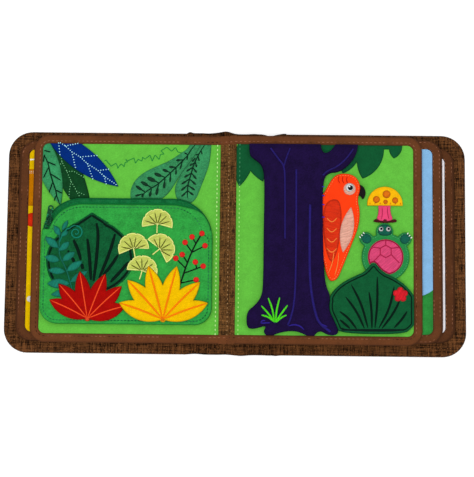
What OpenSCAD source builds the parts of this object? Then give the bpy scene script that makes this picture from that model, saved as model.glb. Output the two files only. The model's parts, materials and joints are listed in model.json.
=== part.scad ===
// Cloth quiet book, lying open on its back at the middle spread.
// X runs along the spread, Y from the foot of the book to its head, Z up.
// The origin is on the table, under the middle of the open cover.

/* [Cover] */
// Length of one half of the open cover, from the middle of the spine to the fore edge
cover_l = 229.5; // [215:0.5:245]
// Height of the cover, from foot to head
cover_h = 222; // [214:1:240]
// Radius of the outer corners of the cover
cover_r = 24; // [10:1:35]
// Thickness of the covered board
cover_t = 3.6; // [3:0.1:5]
// Thickness of the linen on each face of the board
linen_t = 0.8; // [0.5:0.1:1.1]
// Width of the soft cloth between the two boards
spine_w = 97; // [90:1:104]
// Thickness of the doubled soft cloth of the spine
spine_t = 1.4; // [1:0.1:2]

/* [Opening] */
// Distance from the middle of the spine to the line that each cover turns on
turn_x = 12; // [11:0.5:14]
// Clearance between cloth edges that move apart
turn_gap = 0.3; // [0.2:0.05:0.6]

/* [Leaves] */
// Length of a leaf, from its fold to its fore edge
leaf_l = 192; // [184:0.5:196]
// Thickness of a bound leaf edge
leaf_t = 3.2; // [2.8:0.1:3.4]
// Thickness of the felt
felt_t = 2.4; // [2:0.1:2.6]
// Visible width of the bias binding
binding_w = 8.9; // [6:0.1:10]
// Depth that the felt is tucked into the binding
tuck = 6; // [3:0.5:7]
// Radius of the outer corners of a leaf
leaf_r = 15; // [9:0.5:20]
// Width of the linen strip that joins the two leaves of a folio
strip_w = 15.6; // [14:0.2:17]
// How far the lower leaf of a folded folio stands out past the upper one
creep = 1.5; // [0:0.5:2.5]
// Height of the open folio
open_h = 207; // [202:1:212]
// Height of the first folio
first_h = 200; // [190:1:206]
// Height of the third folio
third_h = 202; // [190:1:210]
// Height of the fourth folio
fourth_h = 194; // [190:1:206]
// Shift of the open folio towards the head
open_y = 3; // [0:0.1:4]
// How much longer the open folio's left half is than its right
left_more = 2.6; // [0:0.1:4]
// Distance from the spine's middle to the open folio's fold, to the left
open_fold = 7.7; // [7.5:0.1:8.5]
// Distance from the spine's middle to the first folio's fold, to the left
first_fold = 24.1; // [23.5:0.1:25.5]
// Distance from the spine's middle to the third folio's fold, to the right
third_fold = 11.7; // [9:0.1:12]
// Distance from the spine's middle to the fourth folio's fold, to the right
fourth_fold = 24.7; // [22:0.1:26]

/* [Zip pouch] */
// Width of the pouch
pouch_w = 169.5; // [160:0.5:172]
// Height of the pouch
pouch_h = 125; // [118:1:132]
// Radius of the upper corners of the pouch
pouch_top_r = 40; // [36:1:44]
// Radius of the lower corners of the pouch
pouch_low_r = 17; // [12:1:24]
// Height of the flat inside of the empty pouch
pouch_gap = 3; // [2.2:0.1:3.6]
// Width of the zip band between the page and the front panel
band_w = 6.4; // [6.2:0.1:7.4]
// Thickness of the zip tape
tape_t = 0.6; // [0.4:0.1:0.9]
// Height of the zip teeth above the tape
tooth_t = 1.3; // [1:0.1:1.6]
// Distance from one zip tooth to the next in a row
tooth_pitch = 2; // [1.8:0.1:2.6]
// Angle at the corner centres where the zip ends
zip_end = 15; // [12:1:18]
// Angle at the corner centre where the slider stands when the zip is shut
slider_at = 26; // [25:0.5:32]
// Length of the slider
slider_l = 9; // [8:0.5:10]
// Width of the slider
slider_w = 5.6; // [5.2:0.1:6]
// Length of the puller past its pin
puller_l = 16; // [14:0.5:20]
// Width of the puller
puller_w = 5.6; // [5:0.1:7]
// Thickness of the puller and of its pin
puller_t = 1.2; // [1:0.1:1.4]
// Running gap round the slider and its puller
run_gap = 0.3; // [0.2:0.05:0.35]

/* [Felt pictures] */
// Thickness of a thin felt picture piece
picture_t = 0.9; // [0.6:0.1:1]
// Thickness of satin embroidery that stands out as its own shape
satin_t = 0.6; // [0.4:0.1:0.7]
// Inside height of the two slip pockets on the right page
pocket_gap = 3.3; // [3.2:0.1:3.6]
// Thickness of the loose felt figures
figure_t = 2.2; // [1.8:0.1:2.2]

/* [Hidden] */
$fn = 64;
far = 400;
eps = 0.01;

// Heights of the stacked leaves
proud = (leaf_t - felt_t) / 2;
left_z = cover_t + 2 * leaf_t;
right_z = cover_t + 4 * leaf_t;
left_top = left_z + leaf_t - proud;
right_top = right_z + leaf_t - proud;

// Length of a felt leaf with its binding, from the linen strip to the fore edge
felt_l = leaf_l - strip_w / 2;

// Edges of the two open pages
left_in = -open_fold - strip_w / 2;
left_out = -open_fold - leaf_l - left_more;
right_in = -open_fold + strip_w / 2;
right_out = -open_fold + leaf_l;
left_mid = (left_in + left_out + binding_w) / 2;
right_mid = (right_in + right_out - binding_w) / 2;

// The pages' pictures are measured from a point a little off the middle of each page
art_down = 0.8;
art_left = [left_mid + 0.6, open_y - art_down];
art_right = [right_mid, open_y - art_down];

// Each folded folio stands a little above the foot of the open one
foot_y = open_y - open_h / 2;
first_foot = 1.5;
third_foot = 2.2;
fourth_foot = 3.5;
first_y = foot_y + first_foot + first_h / 2;
third_y = foot_y + third_foot + third_h / 2;
fourth_y = foot_y + fourth_foot + fourth_h / 2;

// The pouch on the left page, with its middle this far to the left of and below the page's own
pouch_left = 3;
pouch_down = 22.8;
pouch_x = left_mid - pouch_left;
pouch_y = open_y - pouch_down;
corner_y = pouch_y + pouch_h / 2 - pouch_top_r;
corner_x = pouch_w / 2 - pouch_top_r;
panel_z = left_top + pouch_gap;
panel_top = panel_z + felt_t;
chain_r = pouch_top_r - band_w / 2;
band_more = 1;
band_low = corner_y + chain_r * sin(zip_end) - band_more;
slit = 0.3;
tape_wall = 0.9;
tape_tuck = 3;
tooth_w = 0.4 * tooth_pitch;
tooth_back = 1.9;
tooth_root = 1.3;
tooth_tip = 0.7;

// The puller's pin lies under the bail, clear of the slider's top
slider_z = panel_z + tooth_t + run_gap;
plate_t = 1.1;
flange_clear = 0.35;
flange_in = tooth_back + flange_clear;
bail_t = 1;
bail_room = 1.3;
bail_l = puller_t + 2 * bail_room;
pin_z = slider_z + plate_t + run_gap + puller_t / 2;
puller_hole_l = 4;
puller_swing = 17;

// Pictures on the pages
leaf_over = 2 * picture_t;
leaf_top = 3 * picture_t;
pocket_t = pocket_gap + felt_t;

// A plain slab with square inner corners and round outer ones, its inner edge at x = 0
module tongue_2d(l, h, r) {
  union() {
    translate([0, -h / 2]) square([l - r, h]);
    translate([0, r - h / 2]) square([l, h - 2 * r]);
    for (s = [-1, 1]) translate([l - r, s * (h / 2 - r)]) circle(r);
  }
}

// A pointed leaf, the overlap of two circles, from point a to point b
module blade(a, b, w) {
  l = norm(b - a);
  r = (l * l + w * w) / (4 * w);
  translate(a) rotate(atan2(b[1] - a[1], b[0] - a[0])) intersection() {
    translate([l / 2, w / 2 - r]) circle(r);
    translate([l / 2, r - w / 2]) circle(r);
  }
}

// A leaf with pointed lobes that spread from one base; each lobe is [length, angle]
module lobed_2d(lobes, lobe_w, base_r) {
  union() {
    circle(base_r);
    for (k = lobes) blade([0, 0], k[0] * [cos(k[1]), sin(k[1])], lobe_w);
  }
}

// Corner cutting, which turns a coarse closed outline into a soft one
function soften(p, n = 2) = n == 0 ? p : soften([
  for (i = [0:len(p) - 1]) let (q = p[(i + 1) % len(p)])
    for (t = [0.25, 0.75]) p[i] + t * (q - p[i])
], n - 1);

// The same for an open line, which keeps its two ends
function bend(p, n = 2) = n == 0 ? p : bend(concat([p[0]], [
  for (i = [0:len(p) - 2]) for (t = [0.25, 0.75]) p[i] + t * (p[i + 1] - p[i])
], [p[len(p) - 1]]), n - 1);

function heading(p, i) = let (v = p[min(i + 1, len(p) - 1)] - p[max(i - 1, 0)]) v / norm(v);
function beside(p, i, d) = p[i] + d * [-heading(p, i)[1], heading(p, i)[0]];

// A stem of even width along a line of points
function ribbon(p, w) = concat(
  [for (i = [0:len(p) - 1]) beside(p, i, w / 2)],
  [for (i = [len(p) - 1:-1:0]) beside(p, i, -w / 2)]
);

// The cover: boards in a linen case, joined by the soft spine

module cover_2d(grow = 0) {
  l = cover_l - spine_w / 2;
  translate([spine_w / 2 - grow, 0]) tongue_2d(l + 2 * grow, cover_h + 2 * grow, cover_r + grow);
}

module board_half() {
  hem = 2;
  translate([0, 0, linen_t]) linear_extrude(cover_t - 2 * linen_t) cover_2d(-hem);
}

module case_half() {
  difference() {
    union() {
      linear_extrude(cover_t) cover_2d();
      translate([turn_x, -cover_h / 2, 0]) cube([spine_w / 2 - turn_x + 1, cover_h, spine_t]);
    }
    board_half();
  }
}

module front_cover() { color([0.33, 0.21, 0.12]) mirror([1, 0, 0]) case_half(); }
module back_cover() { color([0.33, 0.21, 0.12]) case_half(); }
module front_board() { color([0.62, 0.56, 0.46]) mirror([1, 0, 0]) board_half(); }
module back_board() { color([0.62, 0.56, 0.46]) board_half(); }

module spine_cloth() {
  half = turn_x - turn_gap;
  color([0.35, 0.23, 0.13]) translate([-half, -cover_h / 2, 0]) cube([2 * half, cover_h, spine_t]);
}

// The linen strip of the open folio spans from page to page and is sewn down at its fold

strip_t = 1;
strip_l = left_in + turn_gap;
strip_r = right_in - 2 * turn_gap;
fold_dip = 0.6;
fold_z = (left_top + right_top) / 2 - fold_dip;

module strip_section(grow) {
  polygon([
    [strip_l, left_top - strip_t - grow], [-open_fold, fold_z - strip_t - grow],
    [strip_r, right_top - strip_t - grow], [strip_r, right_top + grow],
    [-open_fold, fold_z + grow], [strip_l, left_top + grow]
  ]);
}

// Sweeps a section drawn in X and Z from y0 to y1
module along_y(y0, y1) {
  translate([0, y1, 0]) rotate([90, 0, 0]) linear_extrude(y1 - y0) children();
}

module centre_strip() {
  fin = 2.4;
  end_in = 1;
  color([0.38, 0.25, 0.14]) union() {
    along_y(open_y - open_h / 2 + end_in, open_y + open_h / 2 - end_in) strip_section(0);
    along_y(open_y - open_h / 2 + binding_w, open_y + open_h / 2 - binding_w)
      translate([-open_fold - fin / 2, spine_t]) square([fin, fold_z - strip_t / 2 - spine_t]);
  }
}

module strip_binding() {
  color([0.4, 0.23, 0.13]) difference() {
    for (s = [-1, 1]) {
      y = open_y + s * (open_h / 2 - binding_w / 2);
      along_y(y - binding_w / 2, y + binding_w / 2) strip_section(proud);
    }
    centre_strip();
  }
}

// Leaves: felt held in a bias binding, with the inner edge at x = 0 and the fore edge towards +X

module felt_2d(h, more = 0) {
  tongue_2d(felt_l - binding_w + tuck + more, h - 2 * (binding_w - tuck), leaf_r - binding_w + tuck);
}

module leaf_2d(h, more = 0) { tongue_2d(felt_l + more, h, leaf_r); }

module window_2d(h, more = 0) {
  inner_r = max(leaf_r - binding_w, 1);
  translate([-1, 0]) tongue_2d(felt_l - binding_w + more + 1, h - 2 * binding_w, inner_r);
}

module leaf_felt(h, more = 0) { translate([0, 0, proud]) linear_extrude(felt_t) felt_2d(h, more); }

module leaf_binding(h, more = 0) {
  difference() {
    linear_extrude(leaf_t) difference() {
      leaf_2d(h, more);
      window_2d(h, more);
    }
    leaf_felt(h, more);
  }
}

// The two leaves of a folded folio lie on each other as one block of felt
module folio_felt(h) {
  union() {
    leaf_felt(h, creep);
    translate([0, 0, leaf_t]) leaf_felt(h);
    translate([0, binding_w - h / 2, leaf_t / 2])
      cube([felt_l - binding_w - leaf_r, h - 2 * binding_w, leaf_t]);
  }
}

module folio_binding(h) {
  union() {
    leaf_binding(h, creep);
    translate([0, 0, leaf_t]) leaf_binding(h);
  }
}

// The folded linen strip at the back of a folio, a flat U round the felt's inner edge
module folio_strip(h) {
  wall = 1;
  half = leaf_t - proud;
  along_y(-h / 2 + binding_w, h / 2 - binding_w) translate([0, leaf_t]) difference() {
    union() {
      translate([half - strip_w / 2, 0]) circle(half);
      translate([half - strip_w / 2, -half]) square([strip_w / 2 - half, 2 * half]);
    }
    translate([half - strip_w / 2, 0]) circle(half - wall);
    translate([half - strip_w / 2, wall - half]) square([strip_w / 2 - half + 1, 2 * (half - wall)]);
  }
}

module to_first() { translate([-first_fold - strip_w / 2, first_y, cover_t]) mirror([1, 0, 0]) children(); }
module to_third() { translate([third_fold + strip_w / 2, third_y, cover_t + 2 * leaf_t]) children(); }
module to_fourth() { translate([fourth_fold + strip_w / 2, fourth_y, cover_t]) children(); }
module to_left() { translate([left_in, open_y, left_z]) mirror([1, 0, 0]) children(); }
module to_right() { translate([right_in, open_y, right_z]) children(); }

module first_leaves() { color([0.86, 0.72, 0.04]) to_first() folio_felt(first_h); }
module first_leaves_binding() { color([0.4, 0.23, 0.13]) to_first() folio_binding(first_h); }
module first_leaves_strip() { color([0.38, 0.25, 0.14]) to_first() folio_strip(first_h); }
module third_leaves() { color([0.54, 0.73, 0.9]) to_third() folio_felt(third_h); }
module third_leaves_binding() { color([0.4, 0.23, 0.13]) to_third() folio_binding(third_h); }
module third_leaves_strip() { color([0.38, 0.25, 0.14]) to_third() folio_strip(third_h); }
module fourth_leaves() { color([0.93, 0.92, 0.92]) to_fourth() folio_felt(fourth_h); }
module fourth_leaves_binding() { color([0.4, 0.23, 0.13]) to_fourth() folio_binding(fourth_h); }
module fourth_leaves_strip() { color([0.38, 0.25, 0.14]) to_fourth() folio_strip(fourth_h); }
module left_page() { color([0.4, 0.76, 0.25]) to_left() leaf_felt(open_h, left_more); }
module left_page_binding() { color([0.4, 0.23, 0.13]) to_left() leaf_binding(open_h, left_more); }
module right_page() { color([0.4, 0.76, 0.25]) to_right() leaf_felt(open_h); }
module right_page_binding() { color([0.4, 0.23, 0.13]) to_right() leaf_binding(open_h); }

// Picture pieces on the leaves below, which show as a strip at the fore edge
module on_leaf(h) {
  thin = 0.8 * proud;
  translate([0, 0, 2 * leaf_t - proud]) linear_extrude(thin) intersection() {
    window_2d(h);
    children();
  }
}

module first_page_band() {
  band = [60, 37];
  low = 34;
  color([0.78, 0.48, 0.02]) to_first() on_leaf(first_h) translate([felt_l - band[0], low]) square(band);
}

module first_page_spots() {
  in = binding_w + 4;
  // Each spot is [height above the middle, radius]
  spots = [[20, 7], [-59, 3]];
  color([0.75, 0.1, 0.06]) to_first() on_leaf(first_h)
    for (k = spots) translate([felt_l - in, k[0]]) circle(k[1]);
}

module hill() {
  color([0.18, 0.62, 0.24]) to_third() on_leaf(third_h)
    polygon(soften([
      [60, -110], [60, -60], [110, -46], [150, -52], [felt_l - 20, -56], [felt_l, -42], [felt_l + 9, -110]
    ]));
}

// Pictures that hang from the head of the left page

module on_left(t) { translate(concat(art_left, left_top)) linear_extrude(t) children(); }
module on_right(t, up = 0) { translate(concat(art_right, right_top + up)) linear_extrude(t) children(); }

// A page's own felt, measured from its middle, so that a picture ends at the binding
module page_2d(more = 0) {
  l = felt_l - binding_w + more;
  translate([-l / 2, 0]) tongue_2d(l, open_h - 2 * binding_w, max(leaf_r - binding_w, 1));
}

module left_page_2d() { translate([left_mid, open_y] - art_left) mirror([1, 0]) page_2d(left_more); }
module right_page_2d() { translate([right_mid, open_y] - art_right) page_2d(); }

module left_picture(t) {
  on_left(t) difference() {
    intersection() {
      left_page_2d();
      children();
    }
    translate([pouch_x, pouch_y] - art_left) pouch_2d(-turn_gap);
  }
}

module dark_leaf_2d() { blade([-89, 119], [-39, 16], 25); }

module dark_leaf() { color([0.06, 0.27, 0.12]) left_picture(picture_t) dark_leaf_2d(); }

module blue_leaf() {
  color([0.04, 0.17, 0.55]) difference() {
    left_picture(leaf_over) blade([-91, 110], [-13.4, 52.5], 24);
    dark_leaf();
  }
}

module sage_leaf() {
  color([0.25, 0.63, 0.42]) difference() {
    left_picture(leaf_over) difference() {
      blade([-97, 113], [-70.5, 33], 22);
      blade([-91, 110], [-13.4, 52.5], 24);
    }
    dark_leaf();
  }
}

teal_low_line = [
  [60, 103], [56, 92], [47, 86], [39, 80], [26, 74], [13, 68], [3.5, 60], [-1.5, 50], [-1, 38], [9, 32],
  [23, 36], [35, 44], [41.5, 53], [48, 65], [57, 77], [64.5, 88], [71.5, 103]
];
teal_high_line = [
  [63, 103], [56, 80], [46.5, 62], [42.5, 52], [44, 42], [49, 37], [57, 35.5], [64, 40], [68.5, 52],
  [73, 64], [77, 76], [78.5, 90], [79, 103]
];
module teal_low_2d() { polygon(soften(teal_low_line)); }
module teal_leaf_low() { color([0.24, 0.6, 0.4]) left_picture(picture_t) teal_low_2d(); }

module teal_leaf_high() {
  color([0.24, 0.6, 0.4]) left_picture(picture_t) difference() {
    polygon(soften(teal_high_line));
    teal_low_2d();
  }
}

// The pouch: an outline with wide upper and small lower corners, drawn round its own middle
module pouch_2d(inset = 0) {
  w = pouch_w / 2 - inset;
  h = pouch_h / 2 - inset;
  rt = pouch_top_r - inset;
  rl = pouch_low_r - inset;
  union() {
    translate([rt - w, -h + rl]) square([2 * (w - rt), 2 * h - rl]);
    translate([-w, rl - h]) square([2 * w, 2 * h - rt - rl]);
    translate([rl - w, -h]) square([2 * (w - rl), 2 * rl]);
    for (s = [-1, 1]) {
      translate([s * (w - rt), h - rt]) circle(rt);
      translate([s * (w - rl), rl - h]) circle(rl);
    }
  }
}

// The stretch of the outline that the zip takes, as a band between two insets
module zip_band_2d(in0, in1) {
  intersection() {
    difference() {
      pouch_2d(in0);
      pouch_2d(in1);
    }
    translate([-far / 2, band_low - pouch_y]) square([far, far]);
  }
}

module at_pouch(z) { translate([pouch_x, pouch_y, z]) children(); }

module pouch_front() {
  color([0.18, 0.6, 0.28]) at_pouch(left_top) union() {
    translate([0, 0, pouch_gap]) linear_extrude(felt_t) difference() {
      pouch_2d();
      zip_band_2d(-1, band_w);
    }
    linear_extrude(pouch_gap + eps) difference() {
      pouch_2d();
      pouch_2d(felt_t);
      zip_band_2d(-1, band_w);
    }
  }
}

module zip_tape_outer() {
  color([0.06, 0.4, 0.2]) at_pouch(left_top) union() {
    linear_extrude(pouch_gap) zip_band_2d(0, tape_wall);
    translate([0, 0, pouch_gap - tape_t]) linear_extrude(tape_t) zip_band_2d(0, band_w / 2 - slit);
  }
}

module zip_tape_inner() {
  color([0.06, 0.4, 0.2]) at_pouch(panel_z - tape_t) linear_extrude(tape_t)
    zip_band_2d(band_w / 2 + slit, band_w + tape_tuck);
}

// Where the chain is at a distance s from its shut end, d to the outside of its middle line
arc_l = chain_r * (90 - zip_end) * PI / 180;
chain_l = 2 * arc_l + 2 * corner_x;
function on_arc(x, a, d) = [x, corner_y - pouch_y] + (chain_r + d) * [cos(a), sin(a)];
function chain(s, d) =
  s < arc_l ? on_arc(-corner_x, 180 - zip_end - s / chain_r * 180 / PI, d) :
  s < arc_l + 2 * corner_x ? [s - arc_l - corner_x, corner_y - pouch_y + chain_r + d] :
  on_arc(corner_x, 90 - (s - arc_l - 2 * corner_x) / chain_r * 180 / PI, d);

tooth_count = floor(chain_l / tooth_pitch) - 1;

// One row of teeth with its back, on the outer side for side = 1
module teeth_row(side, shift) {
  linear_extrude(tooth_t) polygon(concat(
    [for (i = [0:tooth_count - 1]) let (s = (i + shift) * tooth_pitch)
      for (c = [[-1, tooth_root], [-1, -tooth_tip], [1, -tooth_tip], [1, tooth_root]])
        chain(s + c[0] * tooth_w / 2, side * c[1])],
    [for (i = [tooth_count - 1:-1:0]) chain((i + shift) * tooth_pitch, side * tooth_back)]
  ));
}

module zip_teeth_outer() { color([0.1, 0.5, 0.25]) at_pouch(panel_z) teeth_row(1, 0.75); }
module zip_teeth_inner() { color([0.1, 0.5, 0.25]) at_pouch(panel_z) teeth_row(-1, 1.25); }

// A clamp on the tape past each end of the chain
module zip_stops() {
  stop = [2 * tooth_back, 1.2, tooth_t];
  past = 0.3;
  color([0.08, 0.42, 0.22]) at_pouch(panel_z) for (side = [-1, 1])
    translate([side * corner_x, corner_y - pouch_y, 0]) rotate(90 - side * (90 - zip_end))
      translate([chain_r - stop[0] / 2, side > 0 ? -past : past - stop[1], 0]) cube(stop);
}

// The slider stands on the arc, and its own X axis points outwards
module at_slider() {
  translate([pouch_x - corner_x, corner_y, slider_z]) rotate(180 - slider_at)
    translate([chain_r, 0, 0]) children();
}

module zip_slider() {
  bail_h = run_gap + puller_t + run_gap + bail_t;
  color([0.05, 0.33, 0.16]) at_slider() union() {
    linear_extrude(plate_t) slider_2d();
    translate([0, 0, -tooth_t]) linear_extrude(tooth_t + eps) difference() {
      slider_2d();
      square([2 * flange_in, 2 * slider_l], center = true);
    }
    translate([-bail_t / 2, 0, plate_t]) rotate([90, 0, 90]) linear_extrude(bail_t) difference() {
      translate([-bail_l / 2 - bail_t, -eps]) square([bail_l + 2 * bail_t, bail_h]);
      translate([-bail_l / 2, -1]) square([bail_l, bail_h - bail_t + 1]);
    }
  }
}

// The slider is wide at its leading end and narrow behind, with round corners
module slider_2d() {
  nose_r = 0.62 * slider_l;
  nose_back = 0.15 * slider_l;
  intersection() {
    square([slider_w, slider_l], center = true);
    translate([0, -nose_back]) circle(nose_r);
  }
}

module zip_puller() {
  reach = puller_l - puller_w / 2;
  hole_w = 3;
  eye_r = 1.3;
  blade_w = puller_w - 0.4;
  color([0.07, 0.38, 0.19]) at_slider() translate([0, 0, pin_z - slider_z]) rotate(puller_swing) union() {
    rotate([0, 90, 0]) cylinder(d = puller_t, h = blade_w, center = true);
    translate([0, 0, -puller_t / 2]) linear_extrude(puller_t) difference() {
      union() {
        translate([-blade_w / 2, -reach]) square([blade_w, reach]);
        translate([0, -reach]) circle(puller_w / 2);
      }
      translate([-hole_w / 2, -puller_hole_l - puller_t / 2]) square([hole_w, puller_hole_l]);
      translate([0, -reach]) circle(eye_r);
    }
  }
}

// Pictures on the front of the pouch, measured from the middle of the left page

module on_panel(t) { translate(concat(art_left, panel_top)) linear_extrude(t) children(); }

shell_line = [
  [-52, 17], [-23, 16.5], [-8, 5.5], [1, -6], [4.5, -18.5], [2.5, -31], [-5, -42], [-18.5, -52], [-36.5, -58],
  [-54.5, -56.5], [-70, -50.5], [-79, -40], [-83, -26], [-82.5, -14], [-76.5, -2], [-65.5, 8.5]
];
shell_tip = [[-54, 15], [-38.5, 25.6], [-21, 15]];

module shell_2d() {
  union() {
    polygon(soften(shell_line));
    polygon(shell_tip);
  }
}

module shell_leaf() { color([0.07, 0.36, 0.2]) on_panel(picture_t) shell_2d(); }

fern_stem = [[-69.5, 6], [-70.2, -10.5], [-69, -19], [-62.7, -30], [-59, -41], [-56, -51]];
// Each leaflet is [base, tip, width]
fern_leaflets = [
  [[-69.2, 2], [-75.5, 12], 6], [[-67.6, 7], [-62, 17.5], 4.5], [[-68.5, 1.5], [-61.5, 6.5], 5],
  [[-70.5, -10], [-84, 0.5], 7.5], [[-69.5, -13], [-60, -4], 6.5], [[-69, -22.5], [-84, -19], 7.5],
  [[-66.5, -23], [-54, -14], 7], [[-62, -33], [-46.5, -23], 7.5], [[-63, -33.5], [-80.5, -32], 7],
  [[-58.5, -44], [-41, -32.5], 7], [[-58.5, -45], [-81, -45.5], 9.5], [[-57, -53], [-77, -56.5], 7]
];

module fern_2d() {
  stem_w = 1.4;
  union() {
    polygon(ribbon(bend(fern_stem), stem_w));
    for (k = fern_leaflets) blade(k[0], k[1], k[2]);
  }
}

module fern() {
  color([0.05, 0.42, 0.34]) difference() {
    on_panel(picture_t + satin_t) difference() {
      fern_2d();
      red_2d();
    }
    shell_leaf();
  }
}

// A ginkgo leaf: a wide fan on a short stem, pointing along +X
fan_r = 15.3;

module fan_2d() {
  side = 3 * fan_r * [cos(103), sin(103)];
  notch_r = 0.9;
  stem = [10, 1.2];
  union() {
    difference() {
      circle(fan_r);
      polygon([[0, 0], side, [-3 * fan_r, 0], [side[0], -side[1]]]);
      for (a = [-60, -20, 20, 60]) rotate(a) translate([fan_r, 0]) circle(notch_r);
    }
    translate([1 - stem[0], -stem[1] / 2]) square(stem);
  }
}

// Each fan is [base, angle]
ginkgo_fans = [[[26.6, 14.4], 88], [[3.6, -9.8], 101], [[29.2, -10.2], 40], [[12.5, -32], 74]];
module fans_2d() { for (k = ginkgo_fans) translate(k[0]) rotate(k[1]) fan_2d(); }

module ginkgo_leaves() {
  color([0.84, 0.84, 0.45]) difference() {
    on_panel(picture_t + satin_t) difference() {
      fans_2d();
      yellow_2d();
    }
    shell_leaf();
  }
}

berry_stem_line = [[48.2, -51.4], [54.8, -29.1], [60.3, -14], [65.2, -3.6], [70.7, 5.8]];
// Each berry is [middle, where its branch leaves the stem]
berry_list = [
  [[70.7, 5.8], [66, -2]], [[61, 2.2], [65, -4.5]], [[54.2, -3.3], [61, -12.5]], [[73.9, -6.3], [60.6, -13.4]],
  [[51.6, -15.4], [56.8, -23.3]], [[45.3, -19.2], [55, -28.8]], [[64.6, -22.6], [66, -29]],
  [[72.4, -26.6], [54, -33.7]], [[65.7, -40.1], [50.6, -43.5]]
];
berry_r = 2.8;

module berry_stem() {
  stem_w = 1.5;
  branch_w = 1.2;
  color([0.06, 0.25, 0.12]) on_panel(satin_t) difference() {
    union() {
      polygon(ribbon(bend(berry_stem_line), stem_w));
      for (k = berry_list) polygon(ribbon([k[0], k[1]], branch_w));
    }
    for (k = berry_list) translate(k[0]) circle(berry_r);
    yellow_2d();
    fans_2d();
  }
}

module berries() {
  color([0.93, 0.1, 0.1]) on_panel(picture_t) for (k = berry_list) translate(k[0]) circle(berry_r);
}

// Each lobe is [length, angle], and each leaf has [the width of its lobes, the radius of its base]
red_at = [-40.5, -79.2];
red_form = [16, 3];
red_lobes = [[42, 154.7], [44.5, 130.7], [47, 100.3], [47.3, 69], [46.2, 43.9], [39.4, 18.9]];
yellow_at = [33.6, -79.3];
yellow_form = [18, 3];
yellow_lobes = [[46, 160], [52, 132.8], [54.5, 106], [54, 76], [51.5, 45.8], [47, 20.5]];

module red_2d() { translate(red_at) lobed_2d(red_lobes, red_form[0], red_form[1]); }
module yellow_2d() { translate(yellow_at) lobed_2d(yellow_lobes, yellow_form[0], yellow_form[1]); }

module red_leaf() {
  color([0.72, 0.07, 0.1]) difference() {
    on_panel(leaf_over) red_2d();
    shell_leaf();
  }
}

module yellow_leaf() {
  color([0.98, 0.76, 0.02]) difference() {
    on_panel(leaf_top) yellow_2d();
    red_leaf();
    shell_leaf();
  }
}

// Foliage behind the head of the tree

module right_picture(t) {
  on_right(t) intersection() {
    right_page_2d();
    children();
  }
}

module foliage_left() {
  color([0.06, 0.36, 0.2]) right_picture(picture_t) union() {
    blade([-76, 109], [-84.5, 53], 20);
    blade([-80, 104], [-61, 58], 18);
  }
}

module foliage_right() {
  color([0.06, 0.36, 0.2]) right_picture(picture_t) union() {
    blade([31, 106], [18, 67], 20);
    blade([53, 109], [37.5, 62], 25);
    blade([72, 105], [68.5, 82.5], 13);
    translate([22, 91.5]) square([51, 12]);
    translate([-8, 84]) square([31, 19]);
  }
}

// The tree is a slip pocket, sewn down all round except along its right side
tree_line = [
  [-75, 102], [-75, 84], [-70, 80], [-62, 74], [-59.5, 60], [-60, 10], [-60, -46], [-62, -57], [-68, -65],
  [-76, -71], [-76, -87], [-68, -88], [-56, -84], [-60, -91], [-54, -96], [-44, -91], [-30, -89], [-20, -92],
  [-12, -97], [-5, -88], [5, -94], [15, -92], [10, -80], [4, -68], [6, -55], [1, -44], [-1, -22], [-2, 20],
  [-2, 58], [3, 67], [15, 68], [25, 76], [32, 87], [33, 102], [14, 102], [6, 88], [-3, 86], [-5, 102]
];

module tree_2d() {
  intersection() {
    right_page_2d();
    polygon(soften(tree_line));
  }
}

// The open inside of a slip pocket, from its low left corner
module pocket_room(at, size) {
  translate(concat(art_right, right_top - 1)) translate(at) cube([size[0], size[1], pocket_gap + 1]);
}

module tree_pocket() {
  color([0.14, 0.08, 0.28]) difference() {
    on_right(pocket_t) tree_2d();
    pocket_room([-46, -42], [60, 106]);
    foliage_left();
    foliage_right();
  }
}

// Each bark line is [points, width]
bark_lines = [
  [[[-54, 91], [-46, 80], [-40, 73], [-39.3, 55], [-39, 1]], 1.8],
  [[[-34.5, 91], [-38, 82], [-40.5, 73]], 1.6],
  [[[-28.3, 70], [-28, 0], [-28.6, -58], [-33, -78], [-36, -84]], 2],
  [[[-14.5, 35], [-15, -29], [-12.8, -53], [-9, -72], [-5, -82], [6, -90]], 2.6],
  [[[-2.4, 64], [3, 69], [11.5, 72.5], [21.3, 81], [28, 91]], 1.6]
];

module tree_bark() {
  color([0.2, 0.13, 0.55]) on_right(satin_t, pocket_t) intersection() {
    tree_2d();
    union() for (k = bark_lines) polygon(ribbon(bend(k[0]), k[1]));
  }
}

grass_blades = [[21, 129.5], [23.8, 106], [24.2, 79], [20.4, 52.7], [13.2, 29.6], [14.4, 154.5]];

module grass_tuft() {
  at = [-48.6, -80];
  blade_w = 3.2;
  base_r = 1.8;
  color([0.3, 0.87, 0.12]) on_right(satin_t, pocket_t) translate(at) lobed_2d(grass_blades, blade_w, base_r);
}

// A pocket shaped like a leaf, open at its pointed head
pocket_line = [
  [48, -20], [40, -30.5], [31, -34.5], [18, -41], [8, -50], [3.5, -60], [3.5, -72], [9, -84], [17, -91.5],
  [77, -91.5], [85, -86], [91, -77], [93, -66], [88, -54], [79, -43], [68, -36], [56, -31]
];

module leaf_pocket_2d() {
  intersection() {
    right_page_2d();
    polygon(soften(pocket_line));
  }
}

module leaf_pocket() {
  color([0.08, 0.38, 0.22]) difference() {
    on_right(pocket_t) difference() {
      leaf_pocket_2d();
      polygon(soften(tree_line));
    }
    pocket_room([24, -72], [50, 62]);
  }
}

// Loose felt figures; each stands on the page and slips into its pocket
module figure(t, z = 0) { on_right(t, picture_t + z) children(); }

parrot_line = [
  [20, 67], [31, 64], [36, 53], [32, 41], [35, 28], [33, 12], [25, -8], [18, -26], [12, -40], [3, -40],
  [-3, -10], [-20, 10], [-18, 36], [-2, 44], [4, 56], [10, 65]
];
module parrot_2d() { polygon(soften(parrot_line)); }

module parrot_patch_2d() {
  blade([26, 33], [18, -12], 13);
  translate([24.5, 51]) circle(6);
}

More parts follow.
